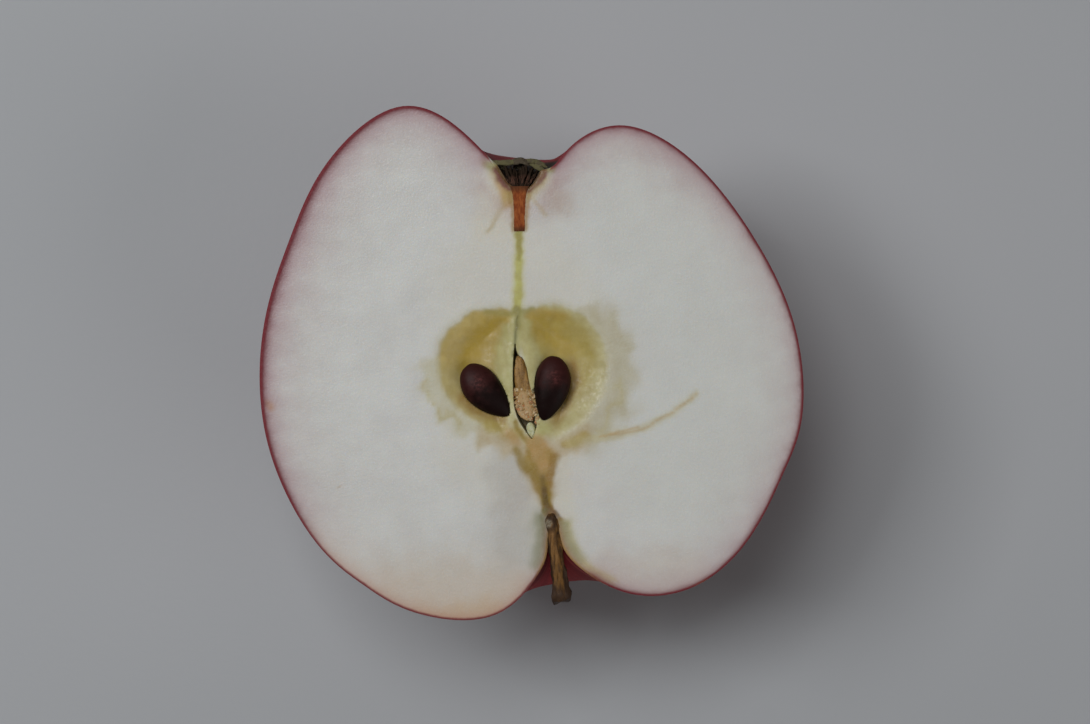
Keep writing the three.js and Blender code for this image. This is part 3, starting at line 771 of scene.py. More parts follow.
def pip_material(colours):
    """A dark maroon seed coat, lighter and redder towards the blunt end, partly its own colour and
    partly painted light, with a painted pink highlight for its sheen.
    """
    paint = Paint("pip_coat")
    mottle = paint.noise(1.2, 4, 0.6)
    fine = paint.noise(0.25, 3, 0.7)
    blunt = paint.number("blunt")
    # The blunt end is painted lighter: partly the coat's own colour, partly painted light, as the
    # blunt ends lie towards the lamps.
    light = paint.math("ADD", blunt, paint.ramp(mottle, 0.3, 0.7, -0.2, 0.2))
    colour = paint.blend(colours.pip, colours.pip_light, light, 0.15, 0.95)
    colour = paint.blend(colour, colours.pip, fine, 0.5, 0.7, 0, 0.3)
    streaks = paint.ramp(paint.noise(0.5, 4, 0.7), 0.42, 0.66)
    # Painted highlight: a pink sheen streaked over the upper side near the blunt end.
    sheen = paint.math("MULTIPLY", paint.number("sheen"), streaks)
    colour = paint.mix(sheen, colour, colours.pip_painted_sheen)
    normal = paint.bump(mottle, 0.05)
    normal = paint.bump(fine, 0.012, normal)
    gloss = paint.ramp(mottle, 0.3, 0.7, 0.4, 0.55)
    return paint.finish(colour, gloss, normal, Specular_IOR_Level=0.12)


def unripe_material():
    """The pale coat of a pip that never filled."""
    paint = Paint("unripe_pip")
    patches = paint.noise(0.6, 3)
    colour = paint.mix(paint.ramp(patches, 0.3, 0.7), tone(176, 178, 154), tone(152, 152, 112))
    return paint.finish(
        colour, 0.4, paint.bump(patches, 0.08),
        Subsurface_Weight=0.3, Subsurface_Radius=(1, 0.8, 0.5), Subsurface_Scale=0.0006,
    )


def husk_material(colours):
    """Dry husk: a smooth golden brown blade, and pale crumbs with rusty ones among them."""
    paint = Paint("core_husk")
    fibres = paint.noise(0.55, 4, 0.6, paint.stretched(1, 0.2, 1, 3))
    specks = paint.noise(0.3, 3, 0.7)
    pale = paint.number("pale")
    rusty = paint.number("rusty")
    blade = paint.blend(colours.husk, colours.husk_light, fibres, 0.3, 0.65)
    blade = paint.blend(blade, BARK_STAIN, specks, 0.52, 0.68, 0, 0.6)
    crumbs = paint.blend(colours.husk_light, colours.crumb, pale, 0.35, 1)
    crumbs = paint.blend(crumbs, colours.husk_rust, specks, 0.55, 0.7, 0, 0.5)
    crumbs = paint.mix(paint.math("MULTIPLY", rusty, 0.8), crumbs, colours.husk_rust)
    colour = paint.blend(blade, crumbs, pale, 0.1, 0.3)
    normal = paint.bump(specks, 0.08)
    return paint.finish(colour, 0.55, normal, Subsurface_Weight=0.25,
                        Subsurface_Scale=0.0005, Subsurface_Radius=(1, 0.7, 0.5))


def style_material(colours):
    """The granular orange brown lining of the style tube, ribbed across, dark at its ends."""
    paint = Paint("style_tube")
    ribs = paint.noise(0.5, 3, 0.6, paint.stretched(1.6, 0.5, 1))
    specks = paint.noise(0.28, 3, 0.7)
    colour = paint.blend(colours.style, colours.style_light, ribs, 0.35, 0.65)
    colour = paint.blend(colour, BARK_STAIN, specks, 0.6, 0.75, 0, 0.4)
    side = paint.math("ABSOLUTE", paint.math("SUBTRACT", paint.axis("X"), STYLE_GROOVE["x"] * MM))
    colour = paint.blend(colour, PIT_EDGE, side, 0.5 * MM, 0.9 * MM, 0, 0.3)
    for (low, high), start, end in ((STYLE_FOOT, 0.7, 0), (STYLE_HEAD, 0, 0.7)):
        dark = paint.ramp(paint.axis("Y"), low * MM, high * MM, start, end)
        colour = paint.mix(dark, colour, BARK_STAIN)
    normal = paint.bump(ribs, 0.08)
    return paint.finish(colour, 0.7, paint.bump(specks, 0.06, normal), Specular_IOR_Level=0.12)


def flower_material(colours):
    """Withered stamens: rusty, and painted black with shade where they meet the sepals and at their
    feet.
    """
    paint = Paint("dried_flower")
    fibres = paint.noise(0.4, 4, 0.7, paint.stretched(1, 0.3, 1))
    colour = paint.blend(colours.flower_dark, colours.flower, fibres, 0.4, 0.65)
    # Painted shade: the stamens go near black where they meet the sepals and at their feet.
    top, foot = (paint.ramp(paint.axis("Y"), low * MM, high * MM, start, end)
                 for (low, high), start, end in ((STAMEN_TOP, 0, 0.95), (STAMEN_FOOT, 0.95, 0)))
    colour = paint.mix(paint.math("MAXIMUM", top, foot), colour, DARK_AND_PIT_SHADE)
    return paint.finish(colour, 0.7, paint.bump(fibres, 0.15), Specular_IOR_Level=0.12)


def sepal_material(colours):
    """Dry sepals: grey down over olive green, brown, and dark in patches."""
    paint = Paint("dried_sepal")
    down = paint.noise(0.24, 4, 0.75, paint.stretched(0.5, 1, 1, 20))
    patches = paint.noise(0.9, 3, 0.6)
    fresh = paint.number("fresh")
    green = paint.math("ADD", fresh, paint.ramp(patches, 0.3, 0.7, -0.3, 0.3))
    colour = paint.blend(colours.sepal, colours.sepal_green, green, 0.2, 0.8)
    colour = paint.blend(colour, colours.sepal_down, down, 0.5, 0.68, 0, 0.65)
    colour = paint.blend(colour, DARK_AND_PIT_SHADE, patches, 0.58, 0.72, 0, 0.8)
    return paint.finish(colour, 0.85, paint.bump(down, 0.12), Specular_IOR_Level=0.25)


def bark_material(colours):
    """Ridged bark: tan down the middle, dark along both flanks and where it broke."""
    paint = Paint("stem_bark")
    ridges = paint.noise(0.5, 4, 0.65, paint.stretched(1, 0.16, 1, -8))
    blotches = paint.noise(1.5, 3, 0.6)
    fine = paint.noise(0.18, 3, 0.7)
    flank = paint.number("flank")
    broken = paint.number("broken")
    knob = paint.number("knob")
    colour = paint.blend(colours.bark_dark, colours.bark, ridges, 0.32, 0.6)
    colour = paint.blend(colour, colours.bark_light, ridges, 0.55, 0.7, 0, 0.7)
    shade = paint.math("ADD", flank, paint.ramp(blotches, 0.3, 0.7, -0.35, 0.3))
    colour = paint.blend(colour, colours.bark_dark, shade, 0.3, 0.75)
    colour = paint.mix(paint.math("MULTIPLY", broken, paint.ramp(fine, 0.3, 0.55, 0.3, 1)),
                       colour, BARK_STAIN)
    ring = paint.math("MULTIPLY", paint.number("ring"), paint.ramp(blotches, 0.3, 0.6, 0.5, 0.9))
    colour = paint.mix(ring, colour, colours.bark_dark)
    colour = paint.mix(paint.math("MULTIPLY", knob, paint.ramp(fine, 0.38, 0.5)), colour,
                       colours.knob)
    normal = paint.bump(ridges, 0.2)
    normal = paint.bump(fine, 0.06, normal)
    return paint.finish(colour, 0.6, normal, Specular_IOR_Level=0.3)


def table_material(colours):
    """A pale, dull table top with the faintest unevenness."""
    paint = Paint("table_top")
    clouds = paint.noise(160, 3, 0.5)
    colour = paint.blend(colours.table, colours.table_shade, clouds, 0.3, 0.7)
    return paint.finish(colour, 0.55, paint.bump(paint.noise(1.2, 2), 0.02))


# ------------------------------------------------------------------ the apple half


def cut_table():
    """The share of the outline and the core height for each line across the cut."""
    shares, heights, counts = zip(*CUT_LINES)
    lines = np.cumsum(counts)
    return lines / lines[-1], shares, heights, int(lines[-1])


def layer(colours, cover, colour, coverage):
    """Lays one colour over what is already painted, as far as the coverage goes."""
    left = cover * (1 - coverage)
    total = left + coverage
    share = np.where(total > 1e-6, coverage / np.maximum(total, 1e-6), 0)
    colours += (np.array(colour) - colours) * share[:, None]
    cover[:] = total


def stroke_cover(x, y, path, widths, softness, strength, seed):
    """How strongly a soft-edged stroke covers each point."""
    away, along = distance_to(x, y, smooth_path(path))
    width = widths[0] + (widths[1] - widths[0]) * along
    uneven = 1 + 0.15 * ripple(x, y, max(3 * softness, 1.4), seed)
    outside = np.maximum(away - width, 0) / (softness * uneven)
    return strength * np.exp(-(outside**2))


def warped(x, y, amount, seed):
    """The same points pushed about a little, so that what is painted has uneven edges."""
    push = [amount * ripple(x, y, 4.5, seed + k) + amount * 0.35 * ripple(x, y, 1.6, seed + 2 + k)
            for k in (0, 1)]
    return x + push[0], y + push[1]


def paint_strokes(x, y, strokes, colours, cover, seed, limit=1.0):
    """Paints a list of strokes, one over the other, each with its own seed."""
    for colour, path, widths, softness, strength in strokes:
        seed += 1
        stroke = stroke_cover(x, y, path, widths, softness, strength, seed)
        layer(colours, cover, colour, stroke * limit)


def inside_chambers(x, y):
    """The points pushed about a little, and how deep each is in the left and right chamber."""
    near_x, near_y = warped(x, y, 0.12, seed=41)
    left, right = (depth_inside(near_x, near_y, smooth_path(loop, closed=True))
                   for loop in (LEFT_CHAMBER, RIGHT_CHAMBER))
    return near_x, near_y, left, right


def inside_tear(x, y):
    """How deep each point is in the torn gap."""
    return depth_inside(x, y, smooth_path(TEAR, closed=True))


def paint_stains_and_shade(x, y, rim):
    """The colour and cover of all stains and painted shade at each point of the cut."""
    colours = np.tile(np.array(CREAM, float), (len(x), 1))
    cover = np.zeros(len(x))
    far_x, far_y = warped(x, y, 0.45, seed=31)
    paint_strokes(far_x, far_y, FAR_STAINS_AND_SHADE, colours, cover, seed=11)
    near_x, near_y, left, right = inside_chambers(x, y)
    blur = 1 + 1.2 * ease(2, -5, y)
    for inside, middle, edge, strokes, seed in (
            (left, OCHRE, PALE_OCHRE, LEFT_CHAMBER_STAINS_AND_SHADOW, 51),
            (right, OLIVE_OCHRE, FAR_OCHRE, RIGHT_CHAMBER_STAINS_AND_SHADOW, 61)):
        layer(colours, cover, HALO, 0.6 * ease(-1.6, 0.3, inside))
        layer(colours, cover, edge, 0.95 * ease(-0.4, 0.35, inside / blur))
        layer(colours, cover, middle, 0.9 * ease(0.1, 2, inside / blur))
        within = ease(-0.5, 0.4, inside)
        paint_strokes(near_x, near_y, strokes, colours, cover, seed, within)
    paint_strokes(near_x, near_y, CORE_STAINS_AND_SHADE, colours, cover, seed=81)
    # Painted shade: the inside of the torn gap is painted dark olive.
    layer(colours, cover, DARK_OLIVE, 0.9 * ease(-0.02, 0.2, inside_tear(x, y)))
    paint_rim(x, y, rim, colours, cover)
    return np.column_stack([colours, cover])


def near_skin(x, y):
    """How wide the colour of the skin spreads here, how low the place is and how open."""
    deep = ease(5, 30, -x) * (0.4 + 0.6 * ease(-20, 10, y))
    low = ease(-18, -29, y) * ease(6, -4, x)
    open_skin = 1 - ease(5.5, 4, np.hypot(x - FLOWER_MOUTH[0], y - FLOWER_MOUTH[1]))
    open_skin = open_skin * (1 - ease(8, 5, np.hypot(x - STEM_MOUTH[0], y - STEM_MOUTH[1])))
    return deep, low, open_skin


def paint_rim(x, y, rim, colours, cover):
    """The pink that the skin lends to the flesh, widest on the left and the top."""
    deep, low, open_skin = near_skin(x, y)
    deep = np.maximum(deep, 0.75 * ease(15, 30, y))
    uneven = 1 + 0.12 * ripple(x, y, 5, seed=71) + 0.06 * ripple(x, y, 1.6, seed=72)
    wide = open_skin * np.exp(-rim / ((2.4 + 0.7 * deep) * uneven))
    layer(colours, cover, BLUSH, (0.56 + 0.38 * deep) * (1 - low) * wide)
    layer(colours, cover, BLUSH_TAN, 0.5 * low * wide)
    beside_stem = np.maximum(low, (1 - open_skin) * ease(-14, -20, y))
    layer(colours, cover, RIM_TAN, 0.65 * beside_stem * np.exp(-rim / 0.55))


def crimson_fringe(x, y, rim):
    """How much crimson the flesh right beside the skin takes on."""
    deep, low, open_skin = near_skin(x, y)
    uneven = 1 + 0.15 * ripple(x, y, 3, seed=73) + 0.1 * ripple(x, y, 1.1, seed=74)
    away = np.maximum(rim - 0.12 - 0.32 * deep, 0) / ((0.42 + 0.1 * deep) * uneven)
    return (1 - low) * open_skin * np.exp(-(away**1.3))


def ripeness(share, y, radius, on_cut):
    """How red the skin is: green or straw in the stem hollow and round the dried flower."""
    hollow = ease(-27.5, -31.5, y) if on_cut else ease(-23.5, -26.5, y)
    basin = ease(3.9, 4.9, radius) if on_cut else ease(3.3, 4.4, radius)
    return np.where(share < STEM_SHARE, hollow, np.where(share > FLOWER_SHARE, basin, 1.0))


def pip_frame(pip):
    """The middle of a pip, the direction it points in and its length."""
    blunt, tip = np.array(pip["blunt"]), np.array(pip["tip"])
    length = np.hypot(*(tip - blunt))
    return (blunt + tip) / 2, (tip - blunt) / length, length


def pip_bend(pip, share):
    """How far the middle line of a bowed pip strays, at a share of its length from its middle."""
    return pip["bow"] * (1 - (2 * share) ** 2)


def pip_room(x, y, pip):
    """Depth below the cut of the hollow that a pip lies in."""
    middle, along, length = pip_frame(pip)
    a = ((x - middle[0]) * along[0] + (y - middle[1]) * along[1]) / (length + 2 * PIP_ROOM)
    b = (y - middle[1]) * along[0] - (x - middle[0]) * along[1] - pip_bend(pip, a)
    side = spline(PIP_SIDE, np.linspace(0, 1, 60))
    half = np.interp(a, -side[:, 1], side[:, 0], left=0, right=0)
    half = half * (pip["breadth"] + 2 * PIP_ROOM)
    room = np.sqrt(np.clip(half**2 - b**2, 0, None)) * pip["thickness"] / pip["breadth"]
    inside = (room > 0) & (depth_inside(x, y, pip_outline(pip)) > 0.02)
    return np.where(inside, pip["sink"] + room + PIP_ROOM * ease(0, 0.4, room), 0)


def pip_outline(pip):
    """The edge of the hollow that a pip lies in, as a closed loop."""
    middle, along, length = pip_frame(pip)
    side = spline(PIP_SIDE, np.linspace(0, 1, 36))
    a = -side[:, 1] * (length + 2 * PIP_ROOM)
    half = side[:, 0] * (pip["breadth"] + 2 * PIP_ROOM)
    bend = pip_bend(pip, side[:, 1])
    a = np.concatenate([a, a[-2::-1]])
    b = np.concatenate([bend + half, (bend - half)[-2::-1]])
    return np.column_stack([middle[0] + along[0] * a - along[1] * b,
                            middle[1] + along[1] * a + along[0] * b])


def groove_reach(y):
    """How far the groove of the style tube reaches to each side: further near the flower."""
    groove = STYLE_GROOVE
    flare = groove["flare"] * ease(groove["flare_from"], groove["flare_to"], y)
    return groove["radius"] * (1 + flare)


def groove_outline():
    """The edge of the groove that the style tube lies in, as a closed loop."""
    groove = STYLE_GROOVE
    heights = np.array([groove["foot"], groove["flare_from"], 23, 23.5, 24, groove["head"]])
    reach = groove_reach(heights)
    right = np.column_stack([groove["x"] + reach, heights])
    left = np.column_stack([groove["x"] - reach, heights])[::-1]
    return np.vstack([right, left, right[:1]])


def drawn_to(x, y, loop):
    """Moves the points that are nearly on a loop onto it, so that the edge there is clean."""
    x, y = x.copy(), y.copy()
    low, high = loop.min(axis=0) - 1, loop.max(axis=0) + 1
    near = (x > low[0]) & (x < high[0]) & (y > low[1]) & (y < high[1])
    px, py = x[near], y[near]
    step = 0.004
    here = depth_inside(px, py, loop)
    slope_x = (depth_inside(px + step, py, loop) - here) / step
    slope_y = (depth_inside(px, py + step, loop) - here) / step
    move = np.where(abs(here) < EDGE_REACH, here, 0)
    x[near] = px - move * slope_x
    y[near] = py - move * slope_y
    return x, y


def cut_relief(x, y):
    """How far the cut face lies below the knife's plane, and how much of it is chamber wall."""
    _, _, left, right = inside_chambers(x, y)
    tear = inside_tear(x, y)
    chamber = np.maximum(left, right)
    depth = CHAMBER_DEPTH * ease(-0.8, CHAMBER_SLOPE, chamber)
    away, _ = distance_to(x, y, smooth_path(WORN_WALL))
    depth = np.maximum(depth, 0.6 * ease(0.5, 0.2, away))
    depth = np.maximum(depth, TEAR_DEPTH * ease(0, TEAR_SLOPE, tear))
    for pip in (LEFT_PIP, RIGHT_PIP):
        depth = np.maximum(depth, pip_room(x, y, pip))
    groove, reach = STYLE_GROOVE, groove_reach(y)
    round_cut = np.sqrt(np.clip(1 - ((x - groove["x"]) / reach) ** 2, 0, None)) * reach
    lengthways = ease(groove["foot"], groove["foot"] + 0.2, y)
    open_top = 1 - ease(groove["head"], groove["head"] + 0.5, y)
    depth = np.maximum(depth, round_cut * lengthways * open_top)
    wall = ease(-0.4, 0.8, np.maximum(chamber, tear))
    return depth, wall


def give_shared(sheet, x, y, rim, share, edge_y, radius, from_core):
    """What the cut face and the skin must agree on along the edge that they share."""
    by_flower = share > FLOWER_SHARE
    deep, low, _ = near_skin(x, y)
    thinner = 0.05 * ease(-5, -20, y) * (1 - low) - 0.1 * deep
    no_skin = by_flower * ease(4.4, 3.9, radius)
    # Painted shade in the flower pit: where the skin is painted near black.
    pit = ease(PIT_RADIUS[-1] + 1.9, PIT_RADIUS[-1] + 0.7, radius)
    pit = np.maximum(pit, ease(8, 6, radius) * ease(28.5, 27.9, edge_y))
    for name, values in (
            ("rim", rim + thinner + NO_RIM * no_skin),
            ("fringe", crimson_fringe(x, y, rim) * (1 - no_skin)),
            ("ripe", ripeness(share, edge_y, radius, False)),
            ("edge_ripe", ripeness(share, edge_y, radius, True)),
            # The hollows near the core line, where the skin gets painted shade.
            ("shaded_hollow", ease(13, 8, from_core)),
            ("pit", by_flower * pit)):
        give_number(sheet, name, values)


def make_cut_face(sizes, cut_height):
    """The knife's cut as one sheet from skin to skin, with the relief of the core."""
    knots, shares, heights, lines = cut_table()
    points_at, counts = zip(*CUT_POINTS)
    steps = int(sum(counts))
    start_fresh()
    bpy.ops.mesh.primitive_grid_add(x_subdivisions=2 * steps, y_subdivisions=lines, size=2)
    face = bpy.context.object
    grid = points_of(face) * MM
    across, along = grid[:, 0], (grid[:, 1] + 1) / 2
    share = np.interp(along, knots, shares)
    core_y = np.interp(along, knots, heights)
    way = np.interp(abs(across), np.cumsum(counts) / steps, points_at)
    azimuth = np.where(across < 0, math.pi, 0.0)
    rim_x, rim_y, _ = skin_point(azimuth, share, sizes.half_depth / MM, cut_height)
    x = core_x(core_y) * (1 - way) + rim_x * way
    y = core_y * (1 - way) + rim_y * way
    for loop in (pip_outline(LEFT_PIP), pip_outline(RIGHT_PIP),
                 smooth_path(TEAR, closed=True), groove_outline()):
        x, y = drawn_to(x, y, loop)
    rim = distance_from_rim(x, y, sizes, cut_height)
    rim[abs(across) > NEARLY_ONE] = 0
    depth, wall = cut_relief(x, y)
    inland = ease(0.15, 0.6, rim)
    depth = depth * inland + EDGE_DROP * (1 - ease(0, 0.3, rim)) ** 2
    set_points(face, np.column_stack([x, y, cut_height - depth]))
    give_number(face, "wall", wall)
    to_flower = np.where(x > STYLE_GROOVE["x"], rim_x - STYLE_GROOVE["x"],
                         STYLE_GROOVE["x"] - rim_x)
    give_shared(face, x, y, rim, share, rim_y, to_flower, abs(rim_x - core_x(rim_y)))
    give_colour(face, "stain_and_shade", paint_stains_and_shade(x, y, rim))
    group = face.vertex_groups.new(name="face")
    calm = ease(0.5, 2.5, rim) * (1 - wall)
    for index, weight in enumerate(calm):
        if weight > 0.01:
            group.add([index], float(weight), "REPLACE")
    return face


def distance_from_rim(x, y, sizes, cut_height):
    """Distance of each point of the cut from the skin at its edge."""
    share = np.linspace(0, 1, RIM_PLACES)
    nearest = np.full(len(x), np.inf)
    for azimuth in (0.0, math.pi):
        rim_x, rim_y, _ = skin_point(
            np.full(len(share), azimuth), share, sizes.half_depth / MM, cut_height)
        away, _ = distance_to(x, y, np.column_stack([rim_x, rim_y]))
        nearest = np.minimum(nearest, away)
    return nearest


def make_skin(sizes, cut_height):
    """The skin as one sheet bent round the back of the fruit, from cut to cut."""
    knots, shares, _, lines = cut_table()
    start_fresh()
    bpy.ops.mesh.primitive_grid_add(x_subdivisions=SKIN_STEPS, y_subdivisions=lines, size=2)
    skin = bpy.context.object
    grid = points_of(skin) * MM
    azimuth = (grid[:, 0] + 1) / 2 * math.pi
    share = np.interp((grid[:, 1] + 1) / 2, knots, shares)
    at_rim = abs(grid[:, 0]) > NEARLY_ONE
    azimuth[at_rim] = np.where(grid[at_rim, 0] < 0, 0.0, math.pi)
    x, y, z = skin_point(azimuth, share, sizes.half_depth / MM, cut_height)
    z = np.where(at_rim, cut_height - EDGE_DROP, z)
    z = np.maximum(z, 0)
    set_points(skin, np.column_stack([x, y, z]))
    give_number(skin, "wall", np.zeros(len(x)))
    radius = np.hypot(x - STYLE_GROOVE["x"], z - cut_height)
    from_core = np.hypot(x - core_x(y), z - cut_height)
    rim = np.zeros(len(x))
    give_shared(skin, x, y, rim, share, y, radius, from_core)
    # The stains and painted shade go on over the edge, and no further.
    stain_and_shade = np.zeros((len(x), 4))
    stain_and_shade[at_rim] = paint_stains_and_shade(x[at_rim], y[at_rim], rim[at_rim])
    give_colour(skin, "stain_and_shade", stain_and_shade)
    return skin


def build_apple(sizes, colours):
    """Flesh and skin as one closed piece."""
    cut_height = (sizes.half_depth - sizes.rest_flat_depth) / MM
    face = make_cut_face(sizes, cut_height)
    face.data.materials.append(flesh_material(colours, sizes))
    skin = make_skin(sizes, cut_height)
    skin.data.materials.append(skin_material(colours))
    apple = join([face, skin], "apple_flesh_and_skin")
    close_up(apple)
    roughen(apple, 9, 0.12, "face")
    roughen(apple, 1.1, 0.025, "face")
    hand_over(apple, ["apple_half"], degrees=50)


# ------------------------------------------------------------------ pips


def build_pip(pip, name, cut_height):
    """A drop-shaped pip: a ball drawn out to a tip, flattened and laid in its place."""
    start_fresh()
    bpy.ops.mesh.primitive_uv_sphere_add(segments=40, ring_count=36, radius=1)
    made = bpy.context.object
    ball = points_of(made) * MM
    share = np.arccos(np.clip(ball[:, 2], -1, 1)) / math.pi
    turn = np.arctan2(ball[:, 1], ball[:, 0])
    side = spline(PIP_SIDE, share)
    middle, along, length = pip_frame(pip)
    keel = 1 + 0.02 * np.cos(2 * turn) ** 8
    across = side[:, 0] * np.cos(turn) * pip["breadth"] * keel - pip_bend(pip, side[:, 1])
    up = side[:, 0] * np.sin(turn) * pip["thickness"] * (1 + 0.06 * np.cos(turn))
    lengthways = -side[:, 1] * length
    x = middle[0] + along[0] * lengthways + along[1] * across
    y = middle[1] + along[1] * lengthways - along[0] * across
    set_points(made, np.column_stack([x, y, cut_height - pip["sink"] + up]))
    # Partly painted light: the blunt end, towards the lamps, is painted lighter.
    give_number(made, "blunt", ease(-0.35, 0.45, side[:, 1]))
    spot = np.hypot((side[:, 1] - 0.19) / 0.1, (np.cos(turn) + 0.05) / 0.36)
    # Painted highlight: where the pink sheen is painted.
    give_number(made, "sheen", 0.55 * np.exp(-(spot**2)) * (up > 0))
    name_piece(made, name)
    roughen(made, 1.6, 0.06)
    close_up(made)
    return made


# ------------------------------------------------------------------ husk


# The blade of husk: places of its middle as x, y and half width.
HUSK_BLADE = [
    (-1.95, 0.95, 0.1), (-1.75, 0.4, 0.5), (-1.6, -0.4, 0.8), (-1.5, -1.2, 0.95),
    (-1.42, -2.2, 1), (-1.25, -3.1, 1.1), (-1.05, -4, 1.3), (-0.85, -5, 1.55),
    (-0.7, -6.2, 1.45), (-0.45, -7.2, 1.1), (-0.3, -7.9, 0.4),
]
HUSK_TOP = 0.12
HUSK_FLATNESS = 0.5
# The heap of crumbs on its lower half, and the few that fell beside the right pip's tip.
CRUMBS = 190
CRUMB_RADIUS = (0.09, 0.24)
CRUMB_SINK = 0.55
CRUMB_RISE = 0.4
RUSTY_SHARE = 0.16
HEAP_TOP = -3.7
HEAP_LENGTH = 4.3
LOOSE_CRUMBS = 12
LOOSE_CRUMB_RADIUS = (0.1, 0.22)
LOOSE_PLACE = (0.75, -8.2)


def crumb(place, radius, seed):
    """One rough crumb of husk."""
    start_fresh()
    bpy.ops.mesh.primitive_ico_sphere_add(subdivisions=2, radius=radius * MM,
                                          location=[v * MM for v in place])
    made = bpy.context.object
    settle(made)
    points = points_of(made)
    middle = np.array(place)
    out = points - middle
    draw = np.random.default_rng(seed)
    stretch = draw.uniform(0.65, 1.45, 3)
    lumps = 1 + 0.3 * ripple(points[:, 0], points[:, 1] + 2 * points[:, 2], radius * 1.6, seed)
    set_points(made, middle + out * stretch * lumps[:, None])
    give_number(made, "pale", np.full(len(points), draw.uniform(0.3, 1)))
    give_number(made, "rusty", np.full(len(points), float(draw.uniform(0, 1) < RUSTY_SHARE)))
    return made


def husk_reach(y):
    """Where the middle of the husk is at a height along the core, and how far it reaches."""
    x, heights, reach = (np.array(v) for v in zip(*HUSK_BLADE))
    return np.interp(-y, -heights, x), np.interp(-y, -heights, reach)


def build_husk(cut_height, colours):
    """A torn blade of husk between the chambers, its lower half under a heap of crumbs."""
    draw = np.random.default_rng(5)
    path = smooth_path([(x, y, cut_height) for x, y, _ in HUSK_BLADE], per_span=4)
    radii = [float(husk_reach(y)[1]) for y in path[:, 1]]
    blade = rod(path, radii, 28, "husk_blade")
    points = points_of(blade)
    middle, reach = husk_reach(points[:, 1])
    fold = 0.1 * np.sin(4 * (points[:, 0] - middle) / reach + 0.9 * points[:, 1])
    points[:, 2] = cut_height + (points[:, 2] - cut_height) * HUSK_FLATNESS
    points[:, 2] += fold - HUSK_TOP - HUSK_FLATNESS * reach
    set_points(blade, points)
    roughen(blade, 0.5, 0.16)
    roughen(blade, 0.18, 0.1)
    give_number(blade, "pale", 0.6 * ease(-3.4, -4.2, points[:, 1]))
    heap = [blade]
    for count in range(CRUMBS):
        y = HEAP_TOP - HEAP_LENGTH * draw.uniform(0, 1) ** 0.9
        middle, reach = husk_reach(y)
        x = middle + 1.05 * reach * draw.uniform(-1, 1)
        edge = max(1 - ((x - middle) / reach) ** 2, 0)
        z = cut_height - CRUMB_SINK + CRUMB_RISE * edge * draw.uniform(0.2, 1)
        heap.append(crumb((x, y, z), draw.uniform(*CRUMB_RADIUS), seed=200 + count))
    for count in range(LOOSE_CRUMBS):
        place = (LOOSE_PLACE[0] + draw.uniform(-0.25, 0.3),
                 LOOSE_PLACE[1] + draw.uniform(-0.5, 0.6), cut_height - 0.4)
        heap.append(crumb(place, draw.uniform(*LOOSE_CRUMB_RADIUS), seed=500 + count))
    husk = join(heap, "husk_crumbs")
    hand_over(husk, ["core_husk"], husk_material(colours))


# ------------------------------------------------------------------ dried flower


def rod(path, radii, sides, name):
    """A round rod: a circle extruded from place to place, resized at each, with closed ends."""
    path = np.asarray(path, float)
    start_fresh()
    bpy.ops.mesh.primitive_circle_add(vertices=sides, radius=radii[0] * MM, fill_type="NGON",
                                      location=path[0] * MM)
    made = bpy.context.object
    made.name = name
    direction = Vector(path[1] - path[0]).normalized()
    turn = Vector((0, 0, 1)).rotation_difference(direction)
    made.rotation_mode = "QUATERNION"
    made.rotation_quaternion = turn
    settle(made)
    select_only(made)
    bpy.ops.object.mode_set(mode="EDIT")
    bpy.ops.mesh.select_all(action="SELECT")
    for index in range(1, len(path)):
        move = (path[index] - path[index - 1]) * MM
        bpy.ops.mesh.extrude_region_move(TRANSFORM_OT_translate={"value": tuple(move)})
        ratio = radii[index] / radii[index - 1]
        bpy.ops.transform.resize(value=(ratio, ratio, ratio),
                                 center_override=tuple(path[index] * MM))
    bpy.ops.mesh.select_all(action="SELECT")
    bpy.ops.mesh.normals_make_consistent(inside=False)
    bpy.ops.object.mode_set(mode="OBJECT")
    return made


# The stamens stand in a fan: height of their feet and tips, reach from the middle at both ends.
STAMENS = 110
STAMEN_ROOT = 24.3
STAMEN_TIPS = (25.8, 27.5)
STAMEN_FOOT_REACH = (0.2, 0.8)
STAMEN_TIP_REACH = (0.3, 2.65)
STAMEN_SINK = 0.22
STAMEN_RADII = (0.17, 0.15, 0.13, 0.14, 0.17, 0.08)
SEPAL_FLATNESS = 0.6

